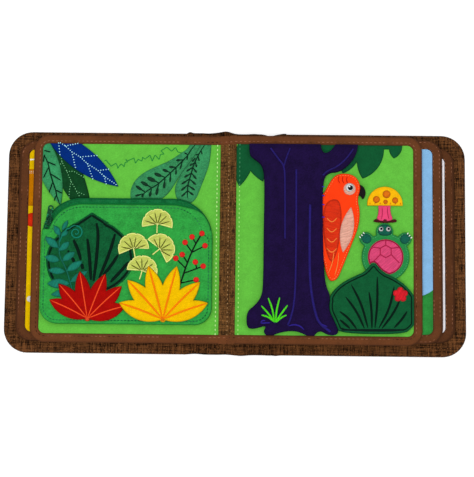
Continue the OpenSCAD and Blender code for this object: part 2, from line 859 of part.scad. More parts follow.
module parrot() { color([0.98, 0.24, 0.08]) figure(figure_t) parrot_2d(); }

module parrot_patches() { color([0.9, 0.68, 0.58]) figure(satin_t, figure_t) parrot_patch_2d(); }

module parrot_beak() {
  color([0.08, 0.07, 0.08]) figure(figure_t) difference() {
    polygon(soften([[30, 56], [38, 55], [41, 47], [38, 40], [35, 45], [30, 46]]));
    parrot_2d();
  }
}

mushroom_at = [59.5, 36.5];
mushroom_r = 17.5;

module mushroom_cap_2d() {
  gill = 1.5;
  intersection() {
    circle(mushroom_r);
    translate([-mushroom_r, -gill]) square([2 * mushroom_r, mushroom_r + gill]);
  }
}

module mushroom_cap() {
  color([0.97, 0.62, 0.06]) on_right(figure_t) translate(mushroom_at) mushroom_cap_2d();
}

module mushroom_stalk() {
  color([0.93, 0.3, 0.47]) on_right(figure_t) translate(mushroom_at) difference() {
    polygon(soften([[-7, 2], [6, 2], [5, -8], [9, -17], [-9, -17], [-6, -8]]));
    mushroom_cap_2d();
  }
}

// A tortoise seen from above, head up, with its hind part in the leaf pocket
tortoise_at = [60, -16];
tortoise_r = 23.5;

module tortoise_2d() {
  head_r = 8.5;
  foot_r = 6.5;
  foot = [19, 18];
  hind = [20, 30];
  translate(tortoise_at) union() {
    circle(tortoise_r);
    translate([-1, tortoise_r + 1.5]) circle(head_r);
    for (s = [-1, 1]) translate([s * foot[0], foot[1]]) rotate(-s * 45) union() {
      circle(foot_r);
      translate([-foot_r, -2 * foot_r]) square(2 * foot_r);
    }
    translate([-hind[0] / 2, -tortoise_r - hind[1] + 6]) square(hind);
  }
}

module tortoise() { color([0.1, 0.48, 0.28]) figure(figure_t) tortoise_2d(); }

// The dome of the shell, which ends above the pocket's mouth
module tortoise_shell() {
  rim = 6;
  clear = 1;
  color([0.88, 0.28, 0.45]) figure(satin_t, figure_t) difference() {
    translate(tortoise_at) circle(tortoise_r - rim);
    translate([0, clear]) leaf_pocket_2d();
  }
}

module flower() {
  at = [74, -53];
  petals = 5;
  petal_r = 3.2;
  eye_r = 3;
  color([0.85, 0.1, 0.12]) on_right(picture_t, pocket_t) translate(at) union() {
    circle(eye_r);
    for (k = [0:petals - 1]) rotate(90 + k * 360 / petals) translate([eye_r + 1.4, 0]) circle(petal_r);
  }
}

spine_cloth();
centre_strip();
strip_binding();
front_cover();
front_board();
first_leaves();
first_leaves_binding();
first_leaves_strip();
first_page_band();
first_page_spots();
left_page();
left_page_binding();
dark_leaf();
blue_leaf();
sage_leaf();
teal_leaf_low();
teal_leaf_high();
pouch_front();
zip_tape_outer();
zip_tape_inner();
zip_teeth_outer();
zip_teeth_inner();
zip_stops();
shell_leaf();
fern();
ginkgo_leaves();
berry_stem();
berries();
red_leaf();
yellow_leaf();
zip_slider();
zip_puller();
back_cover();
back_board();
fourth_leaves();
fourth_leaves_binding();
fourth_leaves_strip();
third_leaves();
third_leaves_binding();
third_leaves_strip();
hill();
right_page();
right_page_binding();
foliage_left();
foliage_right();
tree_pocket();
tree_bark();
grass_tuft();
leaf_pocket();
parrot();
parrot_patches();
parrot_beak();
mushroom_stalk();
mushroom_cap();
tortoise();
tortoise_shell();
flower();
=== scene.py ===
"""Dresses the cloth quiet book: a linen case, bound felt leaves, a zip pouch and embroidered felt pictures.

Lengths inside the classes are in millimetres in the row frame, and every mesh is written in metres.
"""

from __future__ import annotations

import json
import logging
import math
import sys
from dataclasses import dataclass
from enum import Enum
from typing import Callable, Sequence

import bmesh
import bpy
import numpy as np
from mathutils import Matrix, Vector
from mathutils.geometry import delaunay_2d_cdt
from mathutils.kdtree import KDTree

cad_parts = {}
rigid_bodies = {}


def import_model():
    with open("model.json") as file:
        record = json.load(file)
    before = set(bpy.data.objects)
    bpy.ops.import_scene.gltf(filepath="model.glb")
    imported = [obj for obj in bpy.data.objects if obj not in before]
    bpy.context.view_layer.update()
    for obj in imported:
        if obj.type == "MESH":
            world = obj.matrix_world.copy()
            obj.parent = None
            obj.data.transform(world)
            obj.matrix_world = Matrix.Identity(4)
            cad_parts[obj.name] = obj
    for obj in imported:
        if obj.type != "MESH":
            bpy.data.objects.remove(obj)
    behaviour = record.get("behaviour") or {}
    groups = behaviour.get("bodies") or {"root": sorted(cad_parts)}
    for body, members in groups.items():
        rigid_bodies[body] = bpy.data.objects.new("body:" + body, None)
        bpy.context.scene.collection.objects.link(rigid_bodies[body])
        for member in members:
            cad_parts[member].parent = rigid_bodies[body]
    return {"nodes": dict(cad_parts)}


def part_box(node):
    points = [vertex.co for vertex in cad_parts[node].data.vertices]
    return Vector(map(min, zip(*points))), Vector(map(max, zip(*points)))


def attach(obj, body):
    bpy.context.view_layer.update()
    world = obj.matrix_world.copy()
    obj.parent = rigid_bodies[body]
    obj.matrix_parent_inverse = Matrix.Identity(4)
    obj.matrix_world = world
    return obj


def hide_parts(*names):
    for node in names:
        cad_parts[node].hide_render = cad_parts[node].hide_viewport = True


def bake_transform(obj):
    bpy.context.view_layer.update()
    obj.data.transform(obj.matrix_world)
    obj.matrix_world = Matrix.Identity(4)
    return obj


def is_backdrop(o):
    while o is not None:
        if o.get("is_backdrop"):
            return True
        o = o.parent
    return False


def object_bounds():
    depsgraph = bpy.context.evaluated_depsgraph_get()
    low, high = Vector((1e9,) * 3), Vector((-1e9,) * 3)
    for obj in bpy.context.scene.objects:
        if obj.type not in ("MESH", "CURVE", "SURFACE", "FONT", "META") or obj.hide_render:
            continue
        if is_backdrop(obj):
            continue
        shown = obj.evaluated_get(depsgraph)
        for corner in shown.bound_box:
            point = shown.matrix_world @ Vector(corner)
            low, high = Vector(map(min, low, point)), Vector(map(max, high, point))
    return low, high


LOG = logging.getLogger("quiet_book")
MM = 0.001
# Points closer than this are one point, and faces within the level of the top belong to it, in metres
DOUBLES = 2e-6
LEVEL = 2e-5
Points = np.ndarray
Lift = Callable[[Points], np.ndarray]
Piece = bpy.types.Object
Socket = bpy.types.NodeSocket
Material = bpy.types.Material
Tree = bpy.types.NodeTree
FRAME_NODES: dict[str, Piece] = {}


class Body(Enum):
    """The bodies of the frame that a piece can ride on."""

    SPINE = "spine"
    FRONT = "front_cover"
    BACK = "back_cover"
    SLIDER = "zip_slider"
    PULLER = "zip_puller"


# Lines and outlines


def closed_steps(loop: Points) -> np.ndarray:
    """The lengths of a closed outline's sides."""
    return np.linalg.norm(np.roll(loop, -1, axis=0) - loop, axis=1)


def respaced(loop: Points, step: float, corner_deg: float = 25.0) -> Points:
    """An outline with its points a given distance apart and its sharp corners kept.

    Args:
        loop: the closed outline.
        step: the distance between points.
        corner_deg: a turn sharper than this stays as a point.

    Returns:
        The new closed outline.
    """
    before = loop - np.roll(loop, 1, axis=0)
    after = np.roll(loop, -1, axis=0) - loop
    turn = np.degrees(np.arctan2(np.cross(before, after), (before * after).sum(1)))
    keep, walked = [], step
    sides = closed_steps(loop)
    for i, point in enumerate(loop):
        if walked >= 0.75 * step or abs(turn[i]) > corner_deg:
            keep.append(point)
            walked = 0.0
        walked += sides[i]
    kept = np.array(keep)
    out = []
    for a, b in zip(kept, np.roll(kept, -1, axis=0)):
        parts = max(1, int(round(np.linalg.norm(b - a) / step)))
        out.extend(a + (b - a) * k / parts for k in range(parts))
    return np.array(out)


def bent(line: Sequence[Sequence[float]], rounds: int = 2) -> Points:
    """An open line with its corners cut, its ends kept."""
    p = np.array(line, float)
    for _ in range(rounds):
        inner = np.concatenate([[a + 0.25 * (b - a), a + 0.75 * (b - a)] for a, b in zip(p[:-1], p[1:])])
        p = np.concatenate([[p[0]], inner, [p[-1]]])
    return p


def softened(outline: Sequence[Sequence[float]], rounds: int = 2) -> Points:
    """A closed outline with its corners cut."""
    p = np.array(outline, float)
    for _ in range(rounds):
        q = np.roll(p, -1, axis=0)
        p = np.stack([0.75 * p + 0.25 * q, 0.25 * p + 0.75 * q], axis=1).reshape(-1, 2)
    return p


def circle(
    centre: Sequence[float], radius: float, count: int = 24, flat: float = 1.0, turn: float = 0.0
) -> Points:
    """A round or oval outline.

    Args:
        centre: its middle.
        radius: its larger radius.
        count: the number of points.
        flat: the smaller radius as a share of the larger.
        turn: the direction of the larger radius, in degrees.

    Returns:
        The closed outline.
    """
    a = np.arange(count) * 2 * math.pi / count
    p = np.stack([radius * np.cos(a), flat * radius * np.sin(a)], axis=1)
    c, s = math.cos(math.radians(turn)), math.sin(math.radians(turn))
    return p @ np.array([[c, s], [-s, c]]) + np.array(centre, float)


def leftward(d: Points) -> Points:
    """Unit vectors to the left of a line's directions."""
    return np.stack([-d[:, 1], d[:, 0]], axis=1) / np.maximum(np.linalg.norm(d, axis=1, keepdims=True), 1e-9)


def beside(line: Points, distance: Sequence[float] | float) -> Points:
    """An open line moved to its left by a distance, or by one distance for each point."""
    return line + leftward(np.gradient(line, axis=0)) * np.reshape(distance, (-1, 1))


def ring(loop: Points) -> Points:
    """A closed outline as a line that ends where it starts."""
    return np.concatenate([loop, loop[:1]])


def runs_where(line: Points, ok: np.ndarray) -> list[Points]:
    """The parts of an open line whose points are marked, without the shortest ones."""
    cuts = np.flatnonzero(np.diff(ok.astype(int))) + 1
    return [part for part, kept in zip(np.split(line, cuts), np.split(ok, cuts)) if kept[0] and len(part) > 3]


def clear_runs(loop: Points, inset: float) -> list[Points]:
    """The parts of a line inside an outline that keep clear of the rest of it.

    Args:
        loop: the outline.
        inset: how far inside the line runs.

    Returns:
        The open lines.
    """
    even = respaced(loop, 1.0)
    line = beside(ring(even), inset)
    return runs_where(line, Rim([even]).distance(line) > inset - 0.3)


def arc(centre: Sequence[float], radius: float, start: float, end: float, count: int = 16) -> Points:
    """Points on an arc between two angles in degrees."""
    a = np.radians(np.linspace(start, end, count))
    return np.stack([centre[0] + radius * np.cos(a), centre[1] + radius * np.sin(a)], axis=1)


def inside(points: Points, loops: Sequence[Points]) -> np.ndarray:
    """Which of the points lie inside the outlines, where a hole's outline counts as outside.

    Args:
        points: the points.
        loops: the outlines.

    Returns:
        True for each point inside.
    """
    x, y = points[:, :1], points[:, 1:]
    odd = np.zeros(len(points), bool)
    for loop in loops:
        x0, y0 = loop[:, 0], loop[:, 1]
        x1, y1 = np.roll(x0, -1), np.roll(y0, -1)
        rise = np.where(np.abs(y1 - y0) < 1e-12, 1e-12, y1 - y0)
        hit = ((y0 > y) != (y1 > y)) & (x < x0 + (y - y0) * (x1 - x0) / rise)
        odd ^= hit.sum(1) % 2 == 1
    return odd


class Rim:
    """Tells how far points are from a set of lines."""

    def __init__(self, lines: Sequence[Points], closed: bool = True, spacing: float = 0.3) -> None:
        """Samples the lines closely.

        Args:
            lines: the lines or outlines.
            closed: whether each line ends where it starts.
            spacing: the distance between samples.
        """
        samples = []
        for line in lines:
            ends = np.roll(line, -1, axis=0) if closed else line[1:]
            for a, b in zip(line, ends):
                parts = max(1, int(np.linalg.norm(b - a) / spacing))
                samples.extend(a + (b - a) * k / parts for k in range(parts))
            if not closed:
                samples.append(line[-1])
        self.tree = KDTree(len(samples))
        for i, p in enumerate(samples):
            self.tree.insert((p[0], p[1], 0.0), i)
        self.tree.balance()

    def distance(self, points: Points) -> np.ndarray:
        """The distance of each point from the lines."""
        return np.array([self.tree.find((p[0], p[1], 0.0))[2] for p in points])


def welded(node: str) -> bmesh.types.BMesh:
    """A CAD node's mesh with its doubles merged."""
    bm = bmesh.new()
    bm.from_mesh(FRAME_NODES[node].data)
    bmesh.ops.remove_doubles(bm, verts=bm.verts, dist=DOUBLES)
    return bm


def top_loops(node: str) -> list[Points]:
    """The outlines of a CAD node's top face, with its cloth on their left.

    Args:
        node: the node's name.

    Returns:
        The closed outlines, in millimetres.
    """
    bm = welded(node)
    top = max(v.co.z for v in bm.verts)
    # A dict keeps the order of the faces, so each run starts an outline at the same point
    flat = dict.fromkeys(
        f for f in bm.faces if f.normal.z > 0.99 and abs(f.calc_center_median().z - top) < LEVEL
    )
    onward: dict[int, list[int]] = {}
    for f in flat:
        for corner in f.loops:
            if sum(g in flat for g in corner.edge.link_faces) == 1:
                onward.setdefault(corner.vert.index, []).append(corner.link_loop_next.vert.index)
    places = {v.index: (v.co.x / MM, v.co.y / MM) for v in bm.verts}
    bm.free()
    loops = []
    while onward:
        start = next(iter(onward))
        line, at = [], start
        while at in onward:
            line.append(places[at])
            ahead = onward[at].pop()
            if not onward[at]:
                del onward[at]
            at = ahead
        if len(line) > 2:
            loops.append(np.array(line))
    return loops


def largest(node: str) -> Points:
    """The longest outline of a CAD node's top face."""
    return max(top_loops(node), key=len)


def span(node: str) -> tuple[np.ndarray, np.ndarray]:
    """The low and the high corner of a CAD node, in millimetres."""
    lo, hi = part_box(node)
    return np.array(lo) / MM, np.array(hi) / MM


def levels(node: str) -> tuple[float, float]:
    """The heights of a CAD node's lower and upper face, in millimetres."""
    lo, hi = span(node)
    return lo[2], hi[2]


# Meshes


def eased(share: np.ndarray) -> np.ndarray:
    """A share cut off at 0 and 1, with soft ends."""
    t = np.clip(share, 0, 1)
    return t * t * (3 - 2 * t)


def hump(x: np.ndarray, at: float, width: float) -> np.ndarray:
    """A soft hump that is 1 high."""
    return np.exp(-(((x - at) / width) ** 2))


def shoulder(d: np.ndarray, radius: float) -> np.ndarray:
    """How far a rounded edge has fallen at the distance d from it, as a share of its whole drop."""
    share = np.clip(1 - d / radius, 0, 1)
    return 1 - np.sqrt(1 - share**2)


@dataclass(frozen=True)
class Cut:
    """How the edge of a cut piece of cloth looks in section, in millimetres."""

    round: float = 0.5
    drop: float = 0.4
    seam: float = 0.0
    dent: float = 0.0

    def offsets(self) -> list[float]:
        """The distances from the edge at which the section needs points."""
        rings = [0.15 * self.round, 0.5 * self.round, self.round]
        if self.dent:
            rings += [r for r in (self.seam - 0.9, self.seam, self.seam + 0.9) if r > 1.2 * self.round]
        return rings

    def fall(self, d: np.ndarray) -> np.ndarray:
        """How far the surface lies below its full height at the distance d from the edge."""
        return self.drop * shoulder(d, self.round) + self.dent * hump(d, self.seam, 0.7)


def fill(
    loops: Sequence[Points], offsets: Sequence[float], step: float, edge_step: float
) -> tuple[Points, np.ndarray]:
    """Covers an area with triangles that follow its edge.

    Args:
        loops: the outlines, with the cloth on their left.
        offsets: the distances from the edge that get their own row of points.
        step: the distance between the points of the inner area.
        edge_step: the distance between the points of the edge.

    Returns:
        The points, and three point numbers for each triangle.
    """
    loops = [respaced(loop, edge_step) for loop in loops]
    rim = Rim(loops)
    edges, count = [], 0
    for loop in loops:
        edges += [(count + i, count + (i + 1) % len(loop)) for i in range(len(loop))]
        count += len(loop)
    parts = list(loops)
    for offset in offsets:
        for loop in loops:
            p = loop + leftward(np.roll(loop, -1, axis=0) - np.roll(loop, 1, axis=0)) * offset
            p = p[inside(p, loops)]
            if len(p):
                parts.append(p[np.abs(rim.distance(p) - offset) < 0.15 * offset + 0.03])
    every = np.concatenate(loops)
    (x0, y0), (x1, y1) = every.min(0), every.max(0)
    grid = np.array([
        (x, y)
        for k, y in enumerate(np.arange(y0, y1, step * 0.866))
        for x in np.arange(x0 + (k % 2) * step / 2, x1, step)
    ])
    grid = grid[inside(grid, loops)]
    if len(grid):
        parts.append(grid[rim.distance(grid) > (offsets[-1] if len(offsets) else 0) + 0.45 * step])
    made = delaunay_2d_cdt([Vector(p) for p in np.concatenate(parts)], edges, [], 1, 1e-5)
    points = np.array([tuple(v) for v in made[0]])
    faces = np.array([f for f in made[2] if len(f) == 3])
    faces = faces[inside(points[faces].mean(1), loops)]
    a, b, c = (points[faces[:, k]] for k in range(3))
    back = np.cross(b - a, c - a) < 0
    faces[back] = faces[back][:, ::-1]
    return points, faces


def net(xs: Sequence[float], ys: Sequence[float]) -> tuple[Points, np.ndarray]:
    """A rectangular net: its points row by row, and its triangles."""
    n = len(xs)
    starts = [j * n + i for j in range(len(ys) - 1) for i in range(n - 1)]
    faces = [f for a in starts for f in ((a, a + 1, a + n + 1), (a, a + n + 1, a + n))]
    return np.array([(x, y) for y in ys for x in xs]), np.array(faces)


def placed(name: str, data: bpy.types.ID) -> Piece:
    """An object in the scene that shows a mesh, a lamp or a camera."""
    obj = bpy.data.objects.new(name, data)
    bpy.context.scene.collection.objects.link(obj)
    return obj


def mesh_object(name: str, verts: np.ndarray, faces: Sequence[Sequence[int]]) -> Piece:
    """A smooth-shaded mesh object from points in millimetres, in the scene.

    Args:
        name: the object's name.
        verts: its points.
        faces: the point numbers of each face.

    Returns:
        The object.
    """
    mesh = bpy.data.meshes.new(name)
    mesh.from_pydata((np.asarray(verts, float) * MM).tolist(), [], [tuple(int(i) for i in f) for f in faces])
    mesh.validate()
    smooth(mesh, 50)
    return placed(name, mesh)


def smooth(mesh: bpy.types.Mesh, sharp_deg: float) -> None:
    """Shades a mesh smooth, apart from its edges sharper than an angle."""
    mesh.shade_smooth()
    mesh.set_sharp_from_angle(angle=math.radians(sharp_deg))


def solid(
    name: str,
    points: Points,
    faces: np.ndarray,
    top: np.ndarray,
    low: np.ndarray,
    near_edge: np.ndarray | None = None,
) -> Piece:
    """A closed piece of cloth between two surfaces over the same triangles.

    Args:
        name: the piece's name.
        points: the places of both surfaces seen from above.
        faces: the triangles of the upper surface.
        top: the heights of the upper surface.
        low: the heights of the lower surface.
        near_edge: 1 at the cloth's edges and 0 away from them, for the painted shade that its finish lays
            along them.

    Returns:
        The piece.
    """
    n = len(points)
    verts = np.concatenate([np.column_stack([points, top]), np.column_stack([points, low])])
    sides = {(a, b) for f in faces.tolist() for a, b in ((f[0], f[1]), (f[1], f[2]), (f[2], f[0]))}
    walls = [(b, a, a + n, b + n) for a, b in sides if (b, a) not in sides]
    under = (faces[:, ::-1] + n).tolist()
    made = mesh_object(name, verts, faces.tolist() + under + walls)
    if near_edge is not None:
        values = made.data.attributes.new("near_edge", "FLOAT", "POINT").data
        values.foreach_set("value", np.tile(near_edge, 2).astype(np.float32))
    return made


def cloth(
    name: str,
    loops: Sequence[Points],
    low: float,
    high: float,
    cut: Cut = Cut(),
    step: float = 3.0,
    edge_step: float = 0.9,
    lift: Lift | None = None,
    both: bool = False,
) -> Piece:
    """A cut piece of felt or cloth with a soft edge.

    Args:
        name: the piece's name.
        loops: its outlines.
        low: the height of its lower face.
        high: the height of its upper face.
        cut: the section of its edge.
        step: the distance between the points of its inner area.
        edge_step: the distance between the points of its edge.
        lift: how far the surface that it lies on is raised at each point.
        both: whether its lower edge is rounded as well.

    Returns:
        The piece.
    """
    points, faces = fill(loops, cut.offsets(), step, edge_step)
    d = Rim([respaced(loop, edge_step) for loop in loops]).distance(points)
    raised = lift(points) if lift else 0.0
    fall = cut.fall(d)
    top = high - fall + raised
    bottom = low + raised + (np.clip(fall, 0, None) if both else 0 * d)
    # The last value is how near each point lies to the cut edge, where the finish paints shade
    return solid(name, points, faces, top, np.minimum(bottom, top - 0.05), np.exp(-d / 0.6))


def soft_copy(name: str, node: str, bevel: float, segments: int = 3) -> Piece:
    """A copy of a CAD node with its doubles merged and its edges rounded.

    Args:
        name: the copy's name.
        node: the node.
        bevel: how wide the rounding is.
        segments: the number of its steps.

    Returns:
        The copy.
    """
    bm = welded(node)
    bmesh.ops.dissolve_limit(bm, angle_limit=math.radians(2), verts=bm.verts, edges=bm.edges)
    mesh = bpy.data.meshes.new(name)
    bm.to_mesh(mesh)
    bm.free()
    obj = placed(name, mesh)
    rounding = obj.modifiers.new("Rounding", "BEVEL")
    rounding.width = bevel * MM
    rounding.segments = segments
    rounding.limit_method = "ANGLE"
    rounding.angle_limit = math.radians(40)
    settle(obj)
    smooth(obj.data, 35)
    return obj


def settle(obj: Piece) -> None:
    """Turns an object's modifiers into plain mesh."""
    graph = bpy.context.evaluated_depsgraph_get()
    made = bpy.data.meshes.new_from_object(obj.evaluated_get(graph))
    obj.modifiers.clear()
    old = obj.data
    obj.data = made
    obj.data.name = obj.name
    bpy.data.meshes.remove(old)


# Node trees


def feed(tree: Tree, socket: Socket, value: object) -> None:
    """Links a socket to another one, or sets its value."""
    if isinstance(value, Socket):
        tree.links.new(value, socket)
    else:
        socket.default_value = value


def add_node(tree: Tree, kind: str, **settings: object) -> bpy.types.Node:
    """Adds a node: a small first letter sets its own option, a capital joins or sets an input.

    Args:
        tree: the tree.
        kind: the node's type.
        settings: its options and inputs.

    Returns:
        The node.
    """
    made = tree.nodes.new(kind)
    for label, value in settings.items():
        if label[0].islower():
            setattr(made, label, value)
        else:
            feed(tree, made.inputs[label.replace("_", " ")], value)
    return made


def maths(tree: Tree, kind: str, *values: object) -> Socket:
    """The result of a Math node on up to two values."""
    made = add_node(tree, "ShaderNodeMath", operation=kind)
    for socket, value in zip(made.inputs, values):
        feed(tree, socket, value)
    return made.outputs[0]


# Sewing


@dataclass(frozen=True)
class Stitch:
    """The size of a running stitch, in millimetres."""

    pitch: float
    length: float
    width: float
    height: float


@dataclass(frozen=True)
class Cord:
    """The size of a line of close stitches, in millimetres, and the share by which its ends are thinner."""

    radius: float
    taper: float
    pitch: float = 0.8


def tree_inputs(size: Stitch | Cord) -> dict[str, float]:
    """The inputs of a sewing tree by name, in metres apart from the taper."""
    return {label.capitalize(): v * (1.0 if label == "taper" else MM) for label, v in vars(size).items()}


class Sewing:
    """Geometry Nodes trees that turn lines into rows of stitches and into cords of thread."""

    def __init__(self) -> None:
        """Builds both trees."""
        self.trees = {Stitch: self.row_tree(), Cord: self.cord_tree()}

    @staticmethod
    def begun(name: str, size: Stitch | Cord) -> tuple[Tree, bpy.types.NodeOutputs, Socket]:
        """A tree that spaces points along its lines.

        Args:
            name: the tree's name.
            size: the lengths that become its inputs, with their first values.

        Returns:
            The tree, what it is given, and the lines with their points a pitch apart.
        """
        tree = bpy.data.node_groups.new(name, "GeometryNodeTree")
        tree.interface.new_socket("Lines", in_out="INPUT", socket_type="NodeSocketGeometry")
        for label, value in tree_inputs(size).items():
            socket = tree.interface.new_socket(label, in_out="INPUT", socket_type="NodeSocketFloat")
            socket.default_value = value
        tree.interface.new_socket("Thread", in_out="INPUT", socket_type="NodeSocketMaterial")
        tree.interface.new_socket("Sewn", in_out="OUTPUT", socket_type="NodeSocketGeometry")
        given = add_node(tree, "NodeGroupInput").outputs
        curve = add_node(tree, "GeometryNodeMeshToCurve", Mesh=given["Lines"]).outputs["Curve"]
        pitch = given["Pitch"]
        spaced = add_node(tree, "GeometryNodeResampleCurve", mode="LENGTH", Curve=curve, Length=pitch)
        return tree, given, spaced.outputs["Curve"]

    def row_tree(self) -> Tree:
        """A running stitch: one small pad of thread for each stitch."""
        tree, given, spaced = self.begun("Stitch row", Stitch(4.3, 2.8, 0.7, 0.5))
        size = add_node(tree, "ShaderNodeCombineXYZ", X=given["Length"], Y=given["Width"], Z=given["Height"])
        pad = add_node(tree, "GeometryNodeMeshUVSphere", Segments=8, Rings=5, Radius=0.5)
        along = add_node(tree, "GeometryNodeInputTangent").outputs["Tangent"]
        turn = add_node(tree, "FunctionNodeAlignRotationToVector", axis="X", Vector=along)
        copies = add_node(
            tree,
            "GeometryNodeInstanceOnPoints",
            Points=spaced,
            Instance=pad.outputs["Mesh"],
            Rotation=turn.outputs["Rotation"],
            Scale=size.outputs["Vector"],
        )
        return self.closed(tree, copies.outputs["Instances"], given["Thread"])

    def cord_tree(self) -> Tree:
        """A line of close stitches, which stands out as a cord that is thinner at its ends."""
        tree, given, spaced = self.begun("Thread cord", Cord(0.6, 0.5))
        along = add_node(tree, "GeometryNodeSplineParameter").outputs["Factor"]
        thin = maths(tree, "MULTIPLY", maths(tree, "SUBTRACT", along, 0.5), 2.0)
        thin = maths(tree, "POWER", maths(tree, "ABSOLUTE", thin), 4.0)
        share = maths(tree, "SUBTRACT", 1.0, maths(tree, "MULTIPLY", thin, given["Taper"]))
        radius = maths(tree, "MULTIPLY", share, given["Radius"])
        sized = add_node(tree, "GeometryNodeSetCurveRadius", Curve=spaced, Radius=radius)
        profile = add_node(tree, "GeometryNodeCurvePrimitiveCircle", Resolution=8, Radius=1.0)
        tube = add_node(
            tree,
            "GeometryNodeCurveToMesh",
            Curve=sized.outputs["Curve"],
            Profile_Curve=profile.outputs["Curve"],
            Fill_Caps=True,
        )
        if "Scale" in tube.inputs:
            feed(tree, tube.inputs["Scale"], radius)
        return self.closed(tree, tube.outputs["Mesh"], given["Thread"])

    @staticmethod
    def closed(tree: Tree, sewn: Socket, thread: Socket) -> Tree:
        """Ends a tree with real geometry, smooth and in its thread.

        Args:
            tree: the tree.
            sewn: the geometry.
            thread: the thread's material.

        Returns:
            The tree.
        """
        for kind, inputs in (
            ("GeometryNodeRealizeInstances", {}),
            ("GeometryNodeSetShadeSmooth", {}),
            ("GeometryNodeSetMaterial", {"Material": thread}),
        ):
            sewn = add_node(tree, kind, Geometry=sewn, **inputs).outputs["Geometry"]
        add_node(tree, "NodeGroupOutput", Sewn=sewn)
        return tree

    def sew(self, name: str, lines: Sequence[Points], thread: Material, size: Stitch | Cord) -> Piece:
        """Sews lines.

        Args:
            name: the piece's name.
            lines: open lines of points with three coordinates, in millimetres.
            thread: the thread's material.
            size: the kind of sewing and its lengths.

        Returns:
            The sewn piece as plain mesh.
        """
        verts, edges = [], []
        for line in lines:
            edges += [(len(verts) + i, len(verts) + i + 1) for i in range(len(line) - 1)]
            verts += [tuple(float(x) * MM for x in p) for p in line]
        mesh = bpy.data.meshes.new(name)
        mesh.from_pydata(verts, edges, [])
        obj = placed(name, mesh)
        live = obj.modifiers.new("Sewing", "NODES")
        live.node_group = self.trees[type(size)]
        given = {**tree_inputs(size), "Thread": thread}
        for item in live.node_group.interface.items_tree:
            if item.in_out == "INPUT" and item.name in given:
                live[item.identifier] = given[item.name]
        settle(obj)
        if not obj.data.materials:
            obj.data.materials.append(thread)
        return obj


# Finishes


def paint(*screen: float) -> tuple[float, ...]:
    """A colour as it looks on a screen, 0 to 255, as Blender's linear values."""
    return (*(c / 255 / 12.92 if c <= 10 else ((c / 255 + 0.055) / 1.055) ** 2.4 for c in screen), 1.0)


def shade(colour: Sequence[float], share: float) -> tuple[float, ...]:
    """A screen colour made darker, below 1, or lighter, above 1."""
    return tuple(min(255.0, c * share) for c in colour)


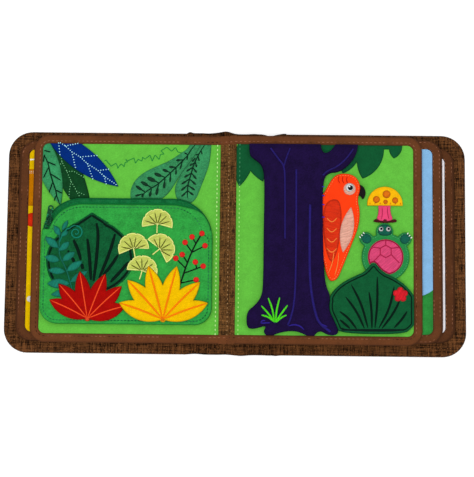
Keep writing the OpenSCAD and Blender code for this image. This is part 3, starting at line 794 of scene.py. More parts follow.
class Weaver:
    """Writes one material's nodes."""

    def __init__(self, name: str) -> None:
        """Starts a material with its shader and the object's own coordinates."""
        self.material = bpy.data.materials.new(name)
        self.material.use_nodes = True
        self.tree = self.material.node_tree
        self.shader = self.tree.nodes["Principled BSDF"]
        self.place = self.node("ShaderNodeTexCoord").outputs["Object"]

    def node(self, kind: str, **settings: object) -> bpy.types.Node:
        """Adds a node to the material."""
        return add_node(self.tree, kind, **settings)

    def maths(self, kind: str, *values: object) -> Socket:
        """The result of a Math node on up to two values."""
        return maths(self.tree, kind, *values)

    def weighed(self, *parts: tuple[Socket, float]) -> Socket:
        """The sum of some values, each times its weight."""
        first, *others = (self.maths("MULTIPLY", value, weight) for value, weight in parts)
        for other in others:
            first = self.maths("ADD", first, other)
        return first

    def spread(self, scale: Sequence[float], turn: float = 0.0) -> Socket:
        """Coordinates stretched by a scale for each axis, in turns per metre, and turned in the plane."""
        place = self.place
        if turn:
            turned = self.node("ShaderNodeMapping", Vector=place, Rotation=(0, 0, math.radians(turn)))
            place = turned.outputs["Vector"]
        return self.node("ShaderNodeMapping", Vector=place, Scale=scale).outputs["Vector"]

    def noise(
        self, scale: Sequence[float] | float, detail: float = 2.0, rough: float = 0.5, turn: float = 0.0
    ) -> Socket:
        """A noise whose grain is one over its scale, in metres.

        Args:
            scale: how many grains fit in a metre, for each axis or for all.
            detail: the number of finer layers.
            rough: the weight of the finer layers.
            turn: its direction in the plane, in degrees.

        Returns:
            The noise, 0 to 1.
        """
        sizes = (scale,) * 3 if isinstance(scale, (int, float)) else scale
        settings = {"Vector": self.spread(sizes, turn), "Scale": 1.0, "Detail": detail, "Roughness": rough}
        return self.node("ShaderNodeTexNoise", **settings).outputs["Fac"]

    def ribs(self, pitch: float, turn: float, wobble: float = 0.0) -> Socket:
        """Parallel ridges a pitch apart, in millimetres, across the direction turn.

        Args:
            pitch: the distance between ridges.
            turn: the direction across them, in degrees.
            wobble: how uneven they run.

        Returns:
            The height of the ridges, 0 to 1.
        """
        return self.node(
            "ShaderNodeTexWave",
            wave_type="BANDS",
            bands_direction="X",
            wave_profile="SIN",
            Vector=self.spread((1, 1, 1), turn),
            Scale=2 * math.pi / (20 * pitch * MM),
            Distortion=wobble,
            Detail=1.0,
            Detail_Scale=2.0,
        ).outputs["Fac"]

    def between(self, share: Socket, low: float, high: float) -> Socket:
        """A share stretched so that low becomes 0 and high becomes 1."""
        return self.node("ShaderNodeMapRange", Value=share, From_Min=low, From_Max=high).outputs["Result"]

    def blended(self, share: Socket, first: object, second: object) -> Socket:
        """Two colours mixed by a share.

        Args:
            share: 0 for the first colour, 1 for the second.
            first: a colour or a socket.
            second: a colour or a socket.

        Returns:
            The mixed colour.
        """
        made = self.node("ShaderNodeMix", data_type="RGBA")
        for socket, value in ((made.inputs[0], share), (made.inputs[6], first), (made.inputs[7], second)):
            feed(self.tree, socket, value)
        return made.outputs[2]

    def edged(self, colour: Socket, rim: Sequence[float], share: float) -> Socket:
        """A colour that turns to another one along the cloth's cut edges: painted shade along them."""
        near = self.node("ShaderNodeAttribute", attribute_name="near_edge").outputs["Fac"]
        return self.blended(self.maths("MULTIPLY", near, share), colour, rim)

    def relief(self, *layers: tuple[Socket, float, float]) -> Socket:
        """Bumps on top of each other, each with its height, depth in millimetres and strength.

        Args:
            layers: the bumps, the lowest one first.

        Returns:
            The normal of them all.
        """
        over = None
        for height, depth, strength in layers:
            made = self.node("ShaderNodeBump", Height=height, Distance=depth * MM, Strength=strength)
            if over:
                feed(self.tree, made.inputs["Normal"], over)
            over = made.outputs["Normal"]
        return over

    def finish(self, colour: Socket, normal: Socket, **fixed: float) -> Material:
        """Joins colour and relief to the shader and sets its own sockets."""
        for label, value in {"Base_Color": colour, "Normal": normal, **fixed}.items():
            feed(self.tree, self.shader.inputs[label.replace("_", " ")], value)
        return self.material


@dataclass(frozen=True)
class Finish:
    """A finish: the record's slot that it stands for, and its colour on a screen."""

    slot: str
    colour: tuple[float, ...]

    def weave(self, weaver: Weaver) -> Material:
        """Writes the finish's nodes."""
        raise NotImplementedError

    def tone(self, share: float) -> tuple[float, ...]:
        """The finish's colour made darker or lighter, as Blender's values."""
        return paint(*shade(self.colour, share))

    def material(self) -> Material:
        """The finish's material, made once."""
        name = f"{type(self).__name__}_{self.slot}_{'_'.join(str(int(c)) for c in self.colour)}"
        return bpy.data.materials.get(name) or self.weave(Weaver(name))


@dataclass(frozen=True)
class Felt(Finish):
    """Pressed wool felt: a fuzzy, slightly cloudy surface with painted shade along its cut edge."""

    cloud: float = 0.1
    # How strongly painted shade darkens the cut edge
    rim: float = 0.55

    def weave(self, weaver: Weaver) -> Material:
        """Fibres over broad clouds."""
        clouds = weaver.between(weaver.noise(110.0, 3.0, 0.6), 0.3, 0.7)
        fibres = weaver.noise((1500.0, 520.0, 900.0), 3.0, 0.75, 35.0)
        crossed = weaver.noise((480.0, 1400.0, 900.0), 3.0, 0.75, -20.0)
        fuzz = weaver.between(weaver.maths("MAXIMUM", fibres, crossed), 0.46, 0.72)
        share = weaver.weighed((clouds, 0.35), (fuzz, 0.65))
        colour = weaver.blended(share, self.tone(1 - 1.6 * self.cloud), self.tone(1 + self.cloud))
        # Painted shade along the cut edge
        colour = weaver.edged(colour, self.tone(0.4), self.rim)
        normal = weaver.relief((fuzz, 0.16, 0.8), (clouds, 0.25, 0.6))
        return weaver.finish(colour, normal, Roughness=0.95, Specular_IOR_Level=0.02)


@dataclass(frozen=True)
class Linen(Finish):
    """Slubby plain-woven linen of dark and tan threads."""

    contrast: float = 0.5
    # How strongly painted shade darkens the cut edge
    rim: float = 0.7

    def weave(self, weaver: Weaver) -> Material:
        """Warp and weft threads of uneven thickness, with tan flecks."""
        warp = weaver.noise((780.0, 60.0, 200.0), 3.0, 0.7)
        weft = weaver.noise((60.0, 780.0, 200.0), 3.0, 0.7)
        slubs = weaver.between(weaver.weighed((warp, 0.55), (weft, 0.45)), 0.41, 0.59)
        threads = weaver.maths("MAXIMUM", weaver.ribs(1.1, 0.0, 0.8), weaver.ribs(1.1, 90.0, 0.8))
        share = weaver.maths("MULTIPLY", slubs, weaver.between(threads, -0.4, 1.0))
        colour = weaver.blended(share, self.tone(1 - self.contrast), self.tone(1 + 0.45 * self.contrast))
        flecks = weaver.between(weaver.noise((900.0, 650.0, 600.0), 2.0, 0.6), 0.58, 0.72)
        colour = weaver.blended(weaver.maths("MULTIPLY", flecks, 0.75), colour, self.tone(1.75))
        # Painted shade along the cut edge
        colour = weaver.edged(colour, self.tone(0.3), self.rim)
        normal = weaver.relief((threads, 0.22, 0.8), (slubs, 0.3, 0.7))
        return weaver.finish(colour, normal, Roughness=0.9, Specular_IOR_Level=0.03)


@dataclass(frozen=True)
class Tape(Finish):
    """Smooth folded tape with a fine rib: the leaves' binding and the zip's own cloth."""

    pitch: float = 0.7
    # How strongly painted shade darkens the cut edge
    rim: float = 0.6

    def weave(self, weaver: Weaver) -> Material:
        """Fine slanting ribs over faint creases."""
        clouds = weaver.between(weaver.noise((90.0, 90.0, 90.0), 3.0, 0.55), 0.3, 0.7)
        grain = weaver.between(weaver.noise(850.0, 2.0, 0.7), 0.35, 0.65)
        ribs = weaver.maths("MULTIPLY", weaver.ribs(self.pitch, 45.0, 0.3), 0.2)
        share = weaver.maths("ADD", weaver.weighed((clouds, 0.4), (grain, 0.4)), ribs)
        colour = weaver.blended(share, self.tone(0.84), self.tone(1.12))
        # Painted shade along the cut edge
        colour = weaver.edged(colour, self.tone(0.5), self.rim)
        normal = weaver.relief((ribs, 0.2, 0.8), (clouds, 0.4, 0.5))
        return weaver.finish(colour, normal, Roughness=0.85, Specular_IOR_Level=0.05)


@dataclass(frozen=True)
class Satin(Finish):
    """Close parallel embroidery thread with a silky shine."""

    turn: float = 40.0
    pitch: float = 0.5
    # How strongly painted shade darkens the cut edge
    rim: float = 0.75

    def weave(self, weaver: Weaver) -> Material:
        """Threads side by side, each a little lighter or darker."""
        threads = weaver.ribs(self.pitch, self.turn, 0.4)
        uneven = weaver.between(weaver.noise((900.0, 90.0, 90.0), 2.0, 0.5, self.turn), 0.3, 0.7)
        share = weaver.weighed((threads, 0.5), (uneven, 0.5))
        colour = weaver.blended(share, self.tone(0.78), self.tone(1.16))
        # Painted shade along the cut edge
        colour = weaver.edged(colour, self.tone(0.35), self.rim)
        normal = weaver.relief((threads, 0.25, 0.9))
        return weaver.finish(colour, normal, Roughness=0.5, Specular_IOR_Level=0.12)


@dataclass(frozen=True)
class Thread(Finish):
    """A single sewing thread, its twist too fine to see from a step away."""

    pale: tuple[float, float, float] | None = None

    def weave(self, weaver: Weaver) -> Material:
        """A twisted thread, which catches the light in places if it has a pale colour."""
        twist = weaver.ribs(0.35, 45.0, 1.0)
        colour = weaver.blended(twist, self.tone(0.85), self.tone(1.1))
        if self.pale:
            lit = weaver.between(weaver.noise(45.0, 2.0), 0.4, 0.52)
            colour = weaver.blended(lit, colour, paint(*self.pale))
        normal = weaver.relief((twist, 0.08, 0.7))
        return weaver.finish(colour, normal, Roughness=0.75, Specular_IOR_Level=0.06)


@dataclass(frozen=True)
class Enamel(Finish):
    """Painted zinc, dark green with lighter smears of painted highlight."""

    def weave(self, weaver: Weaver) -> Material:
        """Gloss paint over a faintly pitted casting."""
        pits = weaver.noise(900.0, 2.0)
        # Lighter smears of painted highlight on the dark green paint
        painted_highlights = weaver.between(weaver.noise(420.0, 3.0, 0.6), 0.55, 0.75)
        colour = weaver.blended(painted_highlights, self.tone(0.7), self.tone(2.0))
        normal = weaver.relief((pits, 0.05, 0.6))
        return weaver.finish(colour, normal, Roughness=0.45, Specular_IOR_Level=0.08)


@dataclass(frozen=True)
class Card(Finish):
    """Grey board, inside the case."""

    def weave(self, weaver: Weaver) -> Material:
        """Pressed pulp."""
        pulp = weaver.noise(700.0, 4.0, 0.7)
        colour = weaver.blended(pulp, self.tone(0.8), self.tone(1.1))
        return weaver.finish(colour, weaver.relief((pulp, 0.1, 1.0)), Roughness=0.95)


LINEN = Linen("linen_case", (89, 56, 31), 0.85)
STRIP = Linen("linen_strip", (95, 64, 34), 0.55)
BINDING = Tape("bias_binding", (99, 57, 31), 0.7, 0.8)
BINDING_THREAD = Thread("bias_binding", (50, 22, 14), (148, 96, 70))
PAGE = Felt("page_felt", (98, 187, 64), 0.07)
DARK_THREAD = Thread("deep_green_felt", (3, 27, 18))
BINDING_STITCH = Stitch(4.3, 2.9, 0.75, 0.45)


# Building


@dataclass
class Maker:
    """What every sub-assembly uses to finish a piece."""

    sewing: Sewing
    count: int = 0

    def add(self, obj: Piece, finish: Finish, body: Body, *nodes: str) -> Piece:
        """Gives a piece its finish and its body, and hides the CAD nodes that it stands for.

        Args:
            obj: the piece.
            finish: its finish.
            body: the body that it rides on.
            nodes: the CAD nodes.

        Returns:
            The piece.
        """
        self.dress(obj, finish, *nodes)
        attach(obj, body.value)
        self.count += 1
        LOG.info("%s: %d faces, on %s", obj.name, len(obj.data.polygons), body.value)
        return obj

    def dress(self, obj: Piece, finish: Finish, *nodes: str) -> None:
        """Gives a piece its finish, and hides the CAD nodes that it stands for."""
        if not obj.data.materials:
            obj.data.materials.append(finish.material())
        if nodes:
            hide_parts(*nodes)

    def bend(self, obj: Piece, finish: Finish, node: str, body: Body, start: float, end: float) -> None:
        """Finishes a piece of cloth between the spine and a cover, and bakes its place into its mesh.

        Args:
            obj: the piece.
            finish: its finish.
            node: the CAD node that it stands for.
            body: the cover.
            start: not used.
            end: not used.
        """
        self.dress(obj, finish, node)
        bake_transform(obj)
        self.count += 1
        LOG.info("%s: %d faces, between spine and %s", obj.name, len(obj.data.polygons), body.value)

    def sew(
        self,
        name: str,
        lines: Sequence[Points],
        height: float | Lift,
        thread: Finish,
        body: Body,
        size: Stitch | Cord,
        *nodes: str,
    ) -> Piece:
        """Sews flat lines on a surface.

        Args:
            name: the piece's name.
            lines: the lines as seen from above.
            height: the surface's height, or what tells it at each point.
            thread: the thread's finish.
            body: the body that carries it.
            size: the kind of sewing and its lengths.
            nodes: the CAD nodes that it stands for.

        Returns:
            The sewn piece.
        """
        raised = []
        for line in lines:
            p = np.asarray(line, float)
            raised.append(np.column_stack([p, height(p) if callable(height) else np.full(len(p), height)]))
        return self.add(self.sewing.sew(name, raised, thread.material(), size), thread, body, *nodes)


def rounded_box(x0: float, x1: float, y0: float, y1: float, left: float, right: float) -> Points:
    """A rectangle with its own corner radius on its left and on its right, anticlockwise.

    Args:
        x0: its left side.
        x1: its right side.
        y0: its foot.
        y1: its head.
        left: the radius of its left corners.
        right: the radius of its right corners.

    Returns:
        The closed outline.
    """
    corners = (
        (x0 + left, y0 + left, left, 180),
        (x1 - right, y0 + right, right, 270),
        (x1 - right, y1 - right, right, 0),
        (x0 + left, y1 - left, left, 90),
    )
    parts = [arc((x, y), r, a, a + 90, 12) if r > 0 else np.array([[x, y]]) for x, y, r, a in corners]
    return np.concatenate(parts)


@dataclass
class Case:
    """The linen case: two covered boards and the soft cloth between them."""

    maker: Maker
    half: float = 229.5
    height: float = 222.0
    corner: float = 24.0
    thick: float = 3.6
    board_in: float = 48.5
    cloth_t: float = 1.4
    bend_from: float = 2.0
    bend_to: float = 24.0
    # Where the cloth stands out past the boards at its head: [place along X, how far, how wide]
    bumps: tuple[tuple[float, float, float], ...] = (
        (-47.0, 1.6, 2.5),
        (-40.0, 0.7, 5.0),
        (-12.0, 2.5, 7.0),
        (3.5, -0.8, 5.0),
        (33.0, -2.0, 6.5),
        (47.5, 0.9, 4.0),
    )

    def build(self) -> None:
        """Makes the two boards' covers and the two halves of the soft spine."""
        for side, body in ((-1, Body.FRONT), (1, Body.BACK)):
            self.board_cover(side, body)
            board = FRAME_NODES[body.value.replace("cover", "board")].data
            board.materials.clear()
            board.materials.append(Card("grey_board", (158, 143, 118)).material())
            self.spine_half(side, body)

    def board_cover(self, side: int, body: Body) -> None:
        """A covered board with a rounded edge and its row of stitches.

        Args:
            side: -1 for the left board, 1 for the right.
            body: its cover.
        """
        y = self.height / 2
        if side < 0:
            loop = rounded_box(-self.half, -self.board_in, -y, y, self.corner, 0)
        else:
            loop = rounded_box(self.board_in, self.half, -y, y, 0, self.corner)
        cut = Cut(round=2.4, drop=1.5, seam=4.5, dent=0.18)
        made = cloth(f"{body.value}_linen", [loop], 0.0, self.thick, cut, 9.0, 1.6, both=True)
        self.maker.add(made, LINEN, body, body.value)
        edge = respaced(loop, 1.5)
        keep = edge[np.abs(edge[:, 0]) > self.board_in + 1]
        keep = keep[np.argsort(np.arctan2(keep[:, 1], side * (keep[:, 0]) - self.board_in))]
        thread = Thread("linen_case", (58, 36, 22))
        line, size = beside(keep, 3.6 * side), Stitch(4.0, 2.6, 0.45, 0.35)
        self.maker.sew(f"{body.value}_edge_stitches", [line], self.thick - 0.1, thread, body, size)

    def end_shift(self, x: np.ndarray) -> np.ndarray:
        """How far the cloth's head stands out past the boards."""
        return sum(a * hump(x, at, w) for at, a, w in self.bumps)

    def rise(self, p: Points) -> np.ndarray:
        """The height of the soft cloth's waves."""
        x, y = p[:, 0], p[:, 1]
        hold = eased((self.board_in - np.abs(x)) / 12.0)
        wave = 0.9 + 0.8 * np.sin(0.23 * x + 0.035 * y + 0.6) * np.cos(0.02 * y)
        wave = wave + 0.35 * np.sin(0.5 * x - 0.06 * y)
        ends = np.clip((np.abs(y) - 103.5) / 7.0, 0, 1)
        return hold * (wave * (1 + 1.3 * ends))

    def spine_half(self, side: int, body: Body) -> None:
        """Half of the soft cloth between the spine and its cover.

        Args:
            side: -1 for the left half, 1 for the right.
            body: its cover.
        """
        xs = np.linspace(0, self.board_in + 1.5, 56)[::side] * side
        ys = np.linspace(-1, 1, 96) * self.height / 2
        grid, faces = net(xs, ys)
        # Painted shade along the cloth's head and foot
        edge = np.exp(-(self.height / 2 - np.abs(grid[:, 1])) / 0.8)
        head = np.clip(grid[:, 1] / (self.height / 2), -1, 1)
        foot_shift = 0.35 * self.end_shift(-grid[:, 0] - 6)
        grid[:, 1] += np.where(head > 0, head**6 * self.end_shift(grid[:, 0]), -(head**6) * foot_shift)
        z = self.rise(grid)
        inner = np.abs(grid[:, 0]) / self.board_in
        top = self.cloth_t + z + 0.8 * np.clip(inner - 0.93, 0, 1) / 0.07
        made = solid(f"spine_cloth_{'left' if side < 0 else 'right'}", grid, faces, top, z, edge)
        self.maker.bend(made, LINEN, "spine_cloth", body, side * self.bend_from, side * self.bend_to)


@dataclass
class Leaf:
    """One bound felt leaf: where it lies and how its binding runs."""

    name: str
    node: str
    body: Body
    felt: Felt
    inner: float
    outer: float
    low_y: float
    high_y: float
    z: float
    thick: float = 3.2
    felt_t: float = 2.4
    sheet_t: float = 3.0
    width: float = 8.9
    corner: float = 15.0
    seam: float = 2.7
    rows: tuple[float, ...] = (6.2,)
    tape: Tape = BINDING

    @property
    def side(self) -> int:
        """-1 for a leaf that runs to the left, and 1 for one that runs to the right."""
        return 1 if self.outer > self.inner else -1

    def line(self, inset: float, reach: float = 0.0) -> Points:
        """The line at a distance from the outer edge, from the foot round the fore edge to the head.

        Args:
            inset: the distance from the edge.
            reach: how far it runs on past the inner edge.

        Returns:
            The open line.
        """
        s = self.side
        r = max(self.corner - inset, 0.6)
        x, end_x = self.outer - s * (inset + r), self.inner - s * reach
        foot, head = self.low_y + inset, self.high_y - inset
        # The angles of the two corners' arcs mirror on a leaf that runs to the left
        low_from, low_to, high_to = (-90, 0, 90) if s > 0 else (270, 180, 90)
        low, high = arc((x, foot + r), r, low_from, low_to), arc((x, head - r), r, low_to, high_to)
        return np.concatenate([[[end_x, foot]], low, high, [[end_x, head]]])

    def away(self, points: Points, inset: float) -> np.ndarray:
        """How far points are from the line at an inset."""
        return Rim([self.line(inset)], closed=False).distance(points)

    def build(self, maker: Maker, nodes: Sequence[str] = (), felt_low: float | None = None) -> None:
        """Makes the binding with its stitches, and the felt if this leaf carries it.

        Args:
            maker: what finishes a piece.
            nodes: the CAD nodes that the binding stands for.
            felt_low: the height of the felt's lower face, or None for no felt.
        """
        loop = np.concatenate([self.line(0), self.line(self.width)[::-1]])[:: self.side]
        points, faces = fill([loop], (0.25, 0.9, 1.7, 2.7), 2.4, 1.5)
        d_out, d_in = self.away(points, 0), self.away(points, self.width)
        x, y = points[:, 0], points[:, 1]
        fall = self.thick / 2 * shoulder(d_out, 2.2) + 0.3 * shoulder(d_in, 0.9)
        fall = fall + 0.16 * hump(d_in, self.seam, 0.8)
        fall = fall + 0.08 * np.sin(1.46 * (x + y) + self.z) * hump(d_in, self.seam, 1.6)
        fall = fall + 0.1 * np.sin(0.11 * x + 0.13 * y + self.z)
        # Painted shade along both edges of the binding, where it meets the cloth next to it
        near = np.maximum(np.exp(-d_in / 0.7), np.exp(-d_out / 0.9))
        top, low = self.z + self.thick, self.z + np.clip(fall, 0, 1.5)
        tape = solid(f"{self.name}_bias_tape", points, faces, top - fall, low, near)
        maker.add(tape, self.tape, self.body, *nodes)
        rows = [self.line(inset, 0.2) for inset in self.rows]
        name = f"{self.name}_binding_stitches"
        maker.sew(name, rows, top - 0.16, BINDING_THREAD, self.body, BINDING_STITCH)
        if felt_low is None:
            return
        high = self.z + self.thick / 2 + self.felt_t / 2
        cut = Cut(round=0.8, drop=0.6)
        felt = cloth(f"{self.name}_felt", [self.line(2.4)[:: self.side]], felt_low, high, cut, 8.0, 1.8)
        maker.add(felt, self.felt, self.body, self.node)


@dataclass
class Leaves:
    """The open spread and the folded folios that lie under it."""

    maker: Maker
    creep: float = 1.5
    binding_w: float = 8.9
    # How far the open strip reaches to the left and to the right of the fold, and its hem on each page
    strip_reach: tuple[float, float] = (8.1, 7.9)
    strip_hem: float = 0.8
    strip_flat: tuple[float, float] = (0.0101, 0.207)
    # Each folio with its body, its felt and how much painted shade darkens its binding, more on the deeper
    # folios
    folios: tuple[tuple[str, Body, Felt, float], ...] = (
        ("first_leaves", Body.FRONT, Felt("yellow_felt", (222, 180, 0), 0.05), 0.88),
        ("third_leaves", Body.BACK, Felt("blue_felt", (130, 180, 222), 0.05), 0.92),
        ("fourth_leaves", Body.BACK, Felt("white_felt", (240, 236, 240), 0.03), 0.84),
    )

    def leaf(self, name: str, node: str, body: Body, felt: Felt, inset: float = 0.0, up: float = 0.0) -> Leaf:
        """A leaf that lies where the CAD's binding lies.

        Args:
            name: the leaf's name.
            node: the CAD node of its felt.
            body: the body that it rides on.
            felt: the felt's finish.
            inset: how far its fore edge stays back.
            up: how far it lies above the lowest leaf.

        Returns:
            The leaf.
        """
        lo, hi = span(f"{node}_binding")
        inner, outer = (hi[0], lo[0] + inset) if body is Body.FRONT else (lo[0], hi[0] - inset)
        return Leaf(name, node, body, felt, inner, outer, lo[1], hi[1], lo[2] + up)

    def build(self) -> None:
        """Makes every leaf, the linen strips behind the folios and the strip of the open one."""
        for node, body in (("left_page", Body.FRONT), ("right_page", Body.BACK)):
            page = self.leaf(node, node, body, PAGE)
            page.build(self.maker, [f"{node}_binding"], span(node)[0][2])
        for node, body, felt, depth_shade in self.folios:
            under = self.leaf(f"{node}_lower", node, body, felt)
            over = self.leaf(f"{node}_upper", node, body, felt, self.creep, under.thick)
            over.rows = (2.0, 7.9)
            # A deeper folio's binding gets a darker colour: painted shade for the deeper layers
            under.tape = over.tape = Tape(BINDING.slot, shade(BINDING.colour, depth_shade), 0.7, 0.8)
            under.build(self.maker, [f"{node}_binding"])
            over.build(self.maker, [f"{node}_binding"], span(node)[0][2])
            strip = soft_copy(f"{node}_fold_strip", f"{node}_strip", 0.35)
            self.maker.add(strip, STRIP, body, f"{node}_strip")
        self.page_seams()
        self.under_pictures()
        self.open_strip()

    def page_seams(self) -> None:
        """The pale seams that hold the two pages in the linen strip."""
        size = Stitch(4.35, 2.4, 1.2, 0.6)
        for name, side, body, pale in (
            ("left", -1, Body.FRONT, (190, 232, 150)),
            ("right", 1, Body.BACK, (160, 216, 118)),
        ):
            lo, hi = span(f"{name}_page")
            x = (hi[0] if side < 0 else lo[0]) + side * 3.4
            seam = np.column_stack([np.full(95, x), np.linspace(-91.0, 97.0, 95)])
            under = inside(seam, top_loops("foliage_left")) if side > 0 else np.zeros(len(seam), bool)
            rise = levels("foliage_left")[1] - hi[2]
            for part, runs, height, colour in (
                ("page", runs_where(seam, ~under), 0.0, pale),
                ("foliage", runs_where(seam, under), rise, (58, 126, 86)),
            ):
                if runs:
                    thread = Thread("page_felt", colour)
                    self.maker.sew(f"{name}_{part}_seam", runs, hi[2] + height, thread, body, size)

    def under_pictures(self) -> None:
        """What shows of the pictures on the leaves below."""
        band = top_loops("first_page_band")
        white_spot, *red_spots = sorted(top_loops("first_page_spots"), key=lambda loop: loop[:, 1].mean())
        amber, green = Felt("amber_felt", (206, 124, 0)), Felt("hill_felt", (48, 146, 62))
        red, pale = Felt("spot_felt", (216, 44, 16)), Felt("spot_felt", (236, 232, 226))
        for name, node, loops, finish, body in (
            ("first_page_band", "first_page_band", band, amber, Body.FRONT),
            ("first_page_red_spot", "first_page_spots", red_spots, red, Body.FRONT),
            ("first_page_white_spot", "first_page_spots", [white_spot], pale, Body.FRONT),
            ("hill", "hill", top_loops("hill"), green, Body.BACK),
        ):
            made = cloth(f"{name}_piece", loops, *levels(node), Cut(round=0.4, drop=0.2), 8.0, 1.2)
            self.maker.add(made, finish, body, node)
        lo, hi = span("first_page_band")
        x, y, z = lo[0] + 0.5, hi[1], hi[2]
        white = Thread("white_felt", (244, 240, 224))
        line = np.array([[x, y + 9.5], [x + 12, y + 10.5]])
        self.maker.sew("first_page_white_line", [line], z, white, Body.FRONT, Cord(0.75, 0.0))
        rows = [np.array([[x, y - d], [x + 14, y - d]]) for d in (2.2, 3.9)]
        self.maker.sew("first_page_band_stitches", rows, z, white, Body.FRONT, Stitch(1.7, 0.9, 0.6, 0.4))

    def fold(self) -> float:
        """The place of the open folio's fold along X."""
        return (span("left_page")[1][0] + span("right_page")[0][0]) / 2

    def strip_height(self, x: np.ndarray) -> np.ndarray:
        """The height of the open folio's linen strip across the fold."""
        fold = self.fold()
        line = np.interp(x, (fold - 7.8, fold, fold + 7.6), (12.8, 15.4, 19.2))
        return line - 0.25 * np.exp(-((x - fold) ** 2) / 3)

    def open_strip(self) -> None:
        """The linen strip that joins the two open pages, its binding at both ends and the fin below it."""
        fold = self.fold()
        low, high = (v[1] for v in span("strip_binding"))
        foot, head = low + self.binding_w, high - self.binding_w
        ends = ((low, foot), (head, high))
        left, right = fold - self.strip_reach[0], fold + self.strip_reach[1]
        for side, x0, x1, end, body in (
            ("left", left, fold, left + self.strip_hem, Body.FRONT),
            ("right", fold, right, right - self.strip_hem, Body.BACK),
        ):
            made = self.strip_part(x0, x1, low + 1, high - 1, 0.0, True)
            made.name = f"open_strip_{side}"
            self.maker.bend(made, STRIP, "centre_strip", body, fold, end)
            made = self.joined([self.strip_part(x0, x1, a, b, 0.5, False) for a, b in ends])
            made.name = f"open_strip_binding_{side}"
            self.maker.bend(made, BINDING, "strip_binding", body, fold, end)
        fin = rounded_box(fold - 1.2, fold + 1.2, foot, head, 0.6, 0.6)
        made = cloth("open_strip_fin", [fin], 2.2, 14.2, Cut(round=0.8, drop=0.5), 4.0, 2.0)
        self.maker.add(made, STRIP, Body.SPINE)
        height = float(self.strip_height(np.array([fold]))[0])
        x = fold + 0.4
        end_seams = [np.array([[x, a + 0.8], [x, b - 0.8]]) for a, b in ends]
        xs = np.linspace(fold - 7.5, fold + 7.2, 4)
        rows = [np.column_stack([xs, np.full(4, y)]) for y in (foot - 2.7, head + 2.7)]
        seam = [np.array([[x, foot], [x, head]])]
        pale, dark = Thread("linen_strip", (172, 132, 88)), Thread("bias_binding", (48, 22, 14))

        def on_strip(p: Points) -> np.ndarray:
            """The height of the binding over the fold."""
            return self.strip_height(p[:, 0]) + 0.45

        for name, lines, level, thread, size in (
            ("seam", seam, height + 0.25, pale, Stitch(4.35, 1.9, 0.9, 0.6)),
            ("end_seams", end_seams, height + 0.7, dark, Stitch(1.9, 1.1, 0.7, 0.4)),
            ("binding_stitches", rows, on_strip, BINDING_THREAD, Stitch(4.3, 2.9, 0.75, 0.4)),
        ):
            self.maker.sew(f"open_strip_{name}", lines, level, thread, Body.SPINE, size)

    def strip_part(self, x0: float, x1: float, y0: float, y1: float, rise: float, thin: bool) -> Piece:
        """A stretch of cloth over the fold, either the thin strip or the binding.

        Args:
            x0: its left side.
            x1: its right side.
            y0: its foot.
            y1: its head.
            rise: how far it lies above the strip.
            thin: whether it is the strip.

        Returns:
            The piece.
        """
        grid, faces = net(np.linspace(x0, x1, 12), np.linspace(y0, y1, 90 if thin else 10))
        wave = 0.12 * np.sin(0.21 * grid[:, 1] + 0.4 * grid[:, 0]) if thin else 0.0
        edge = np.minimum(grid[:, 1] - y0, y1 - grid[:, 1])
        round_off = 0.6 * np.clip(1 - edge / 1.2, 0, 1) ** 2 * (not thin)
        top = self.strip_height(grid[:, 0]) + rise + wave - round_off
        return solid("strip_part", grid, faces, top, top - (0.9 if thin else 1.6))

    @staticmethod
    def joined(parts: Sequence[Piece]) -> Piece:
        """Several meshes as one object."""
        first, *others = parts
        bm = bmesh.new()
        for part in parts:
            bm.from_mesh(part.data)
        bm.to_mesh(first.data)
        bm.free()
        smooth(first.data, 50)
        for part in others:
            bpy.data.objects.remove(part)
        return first


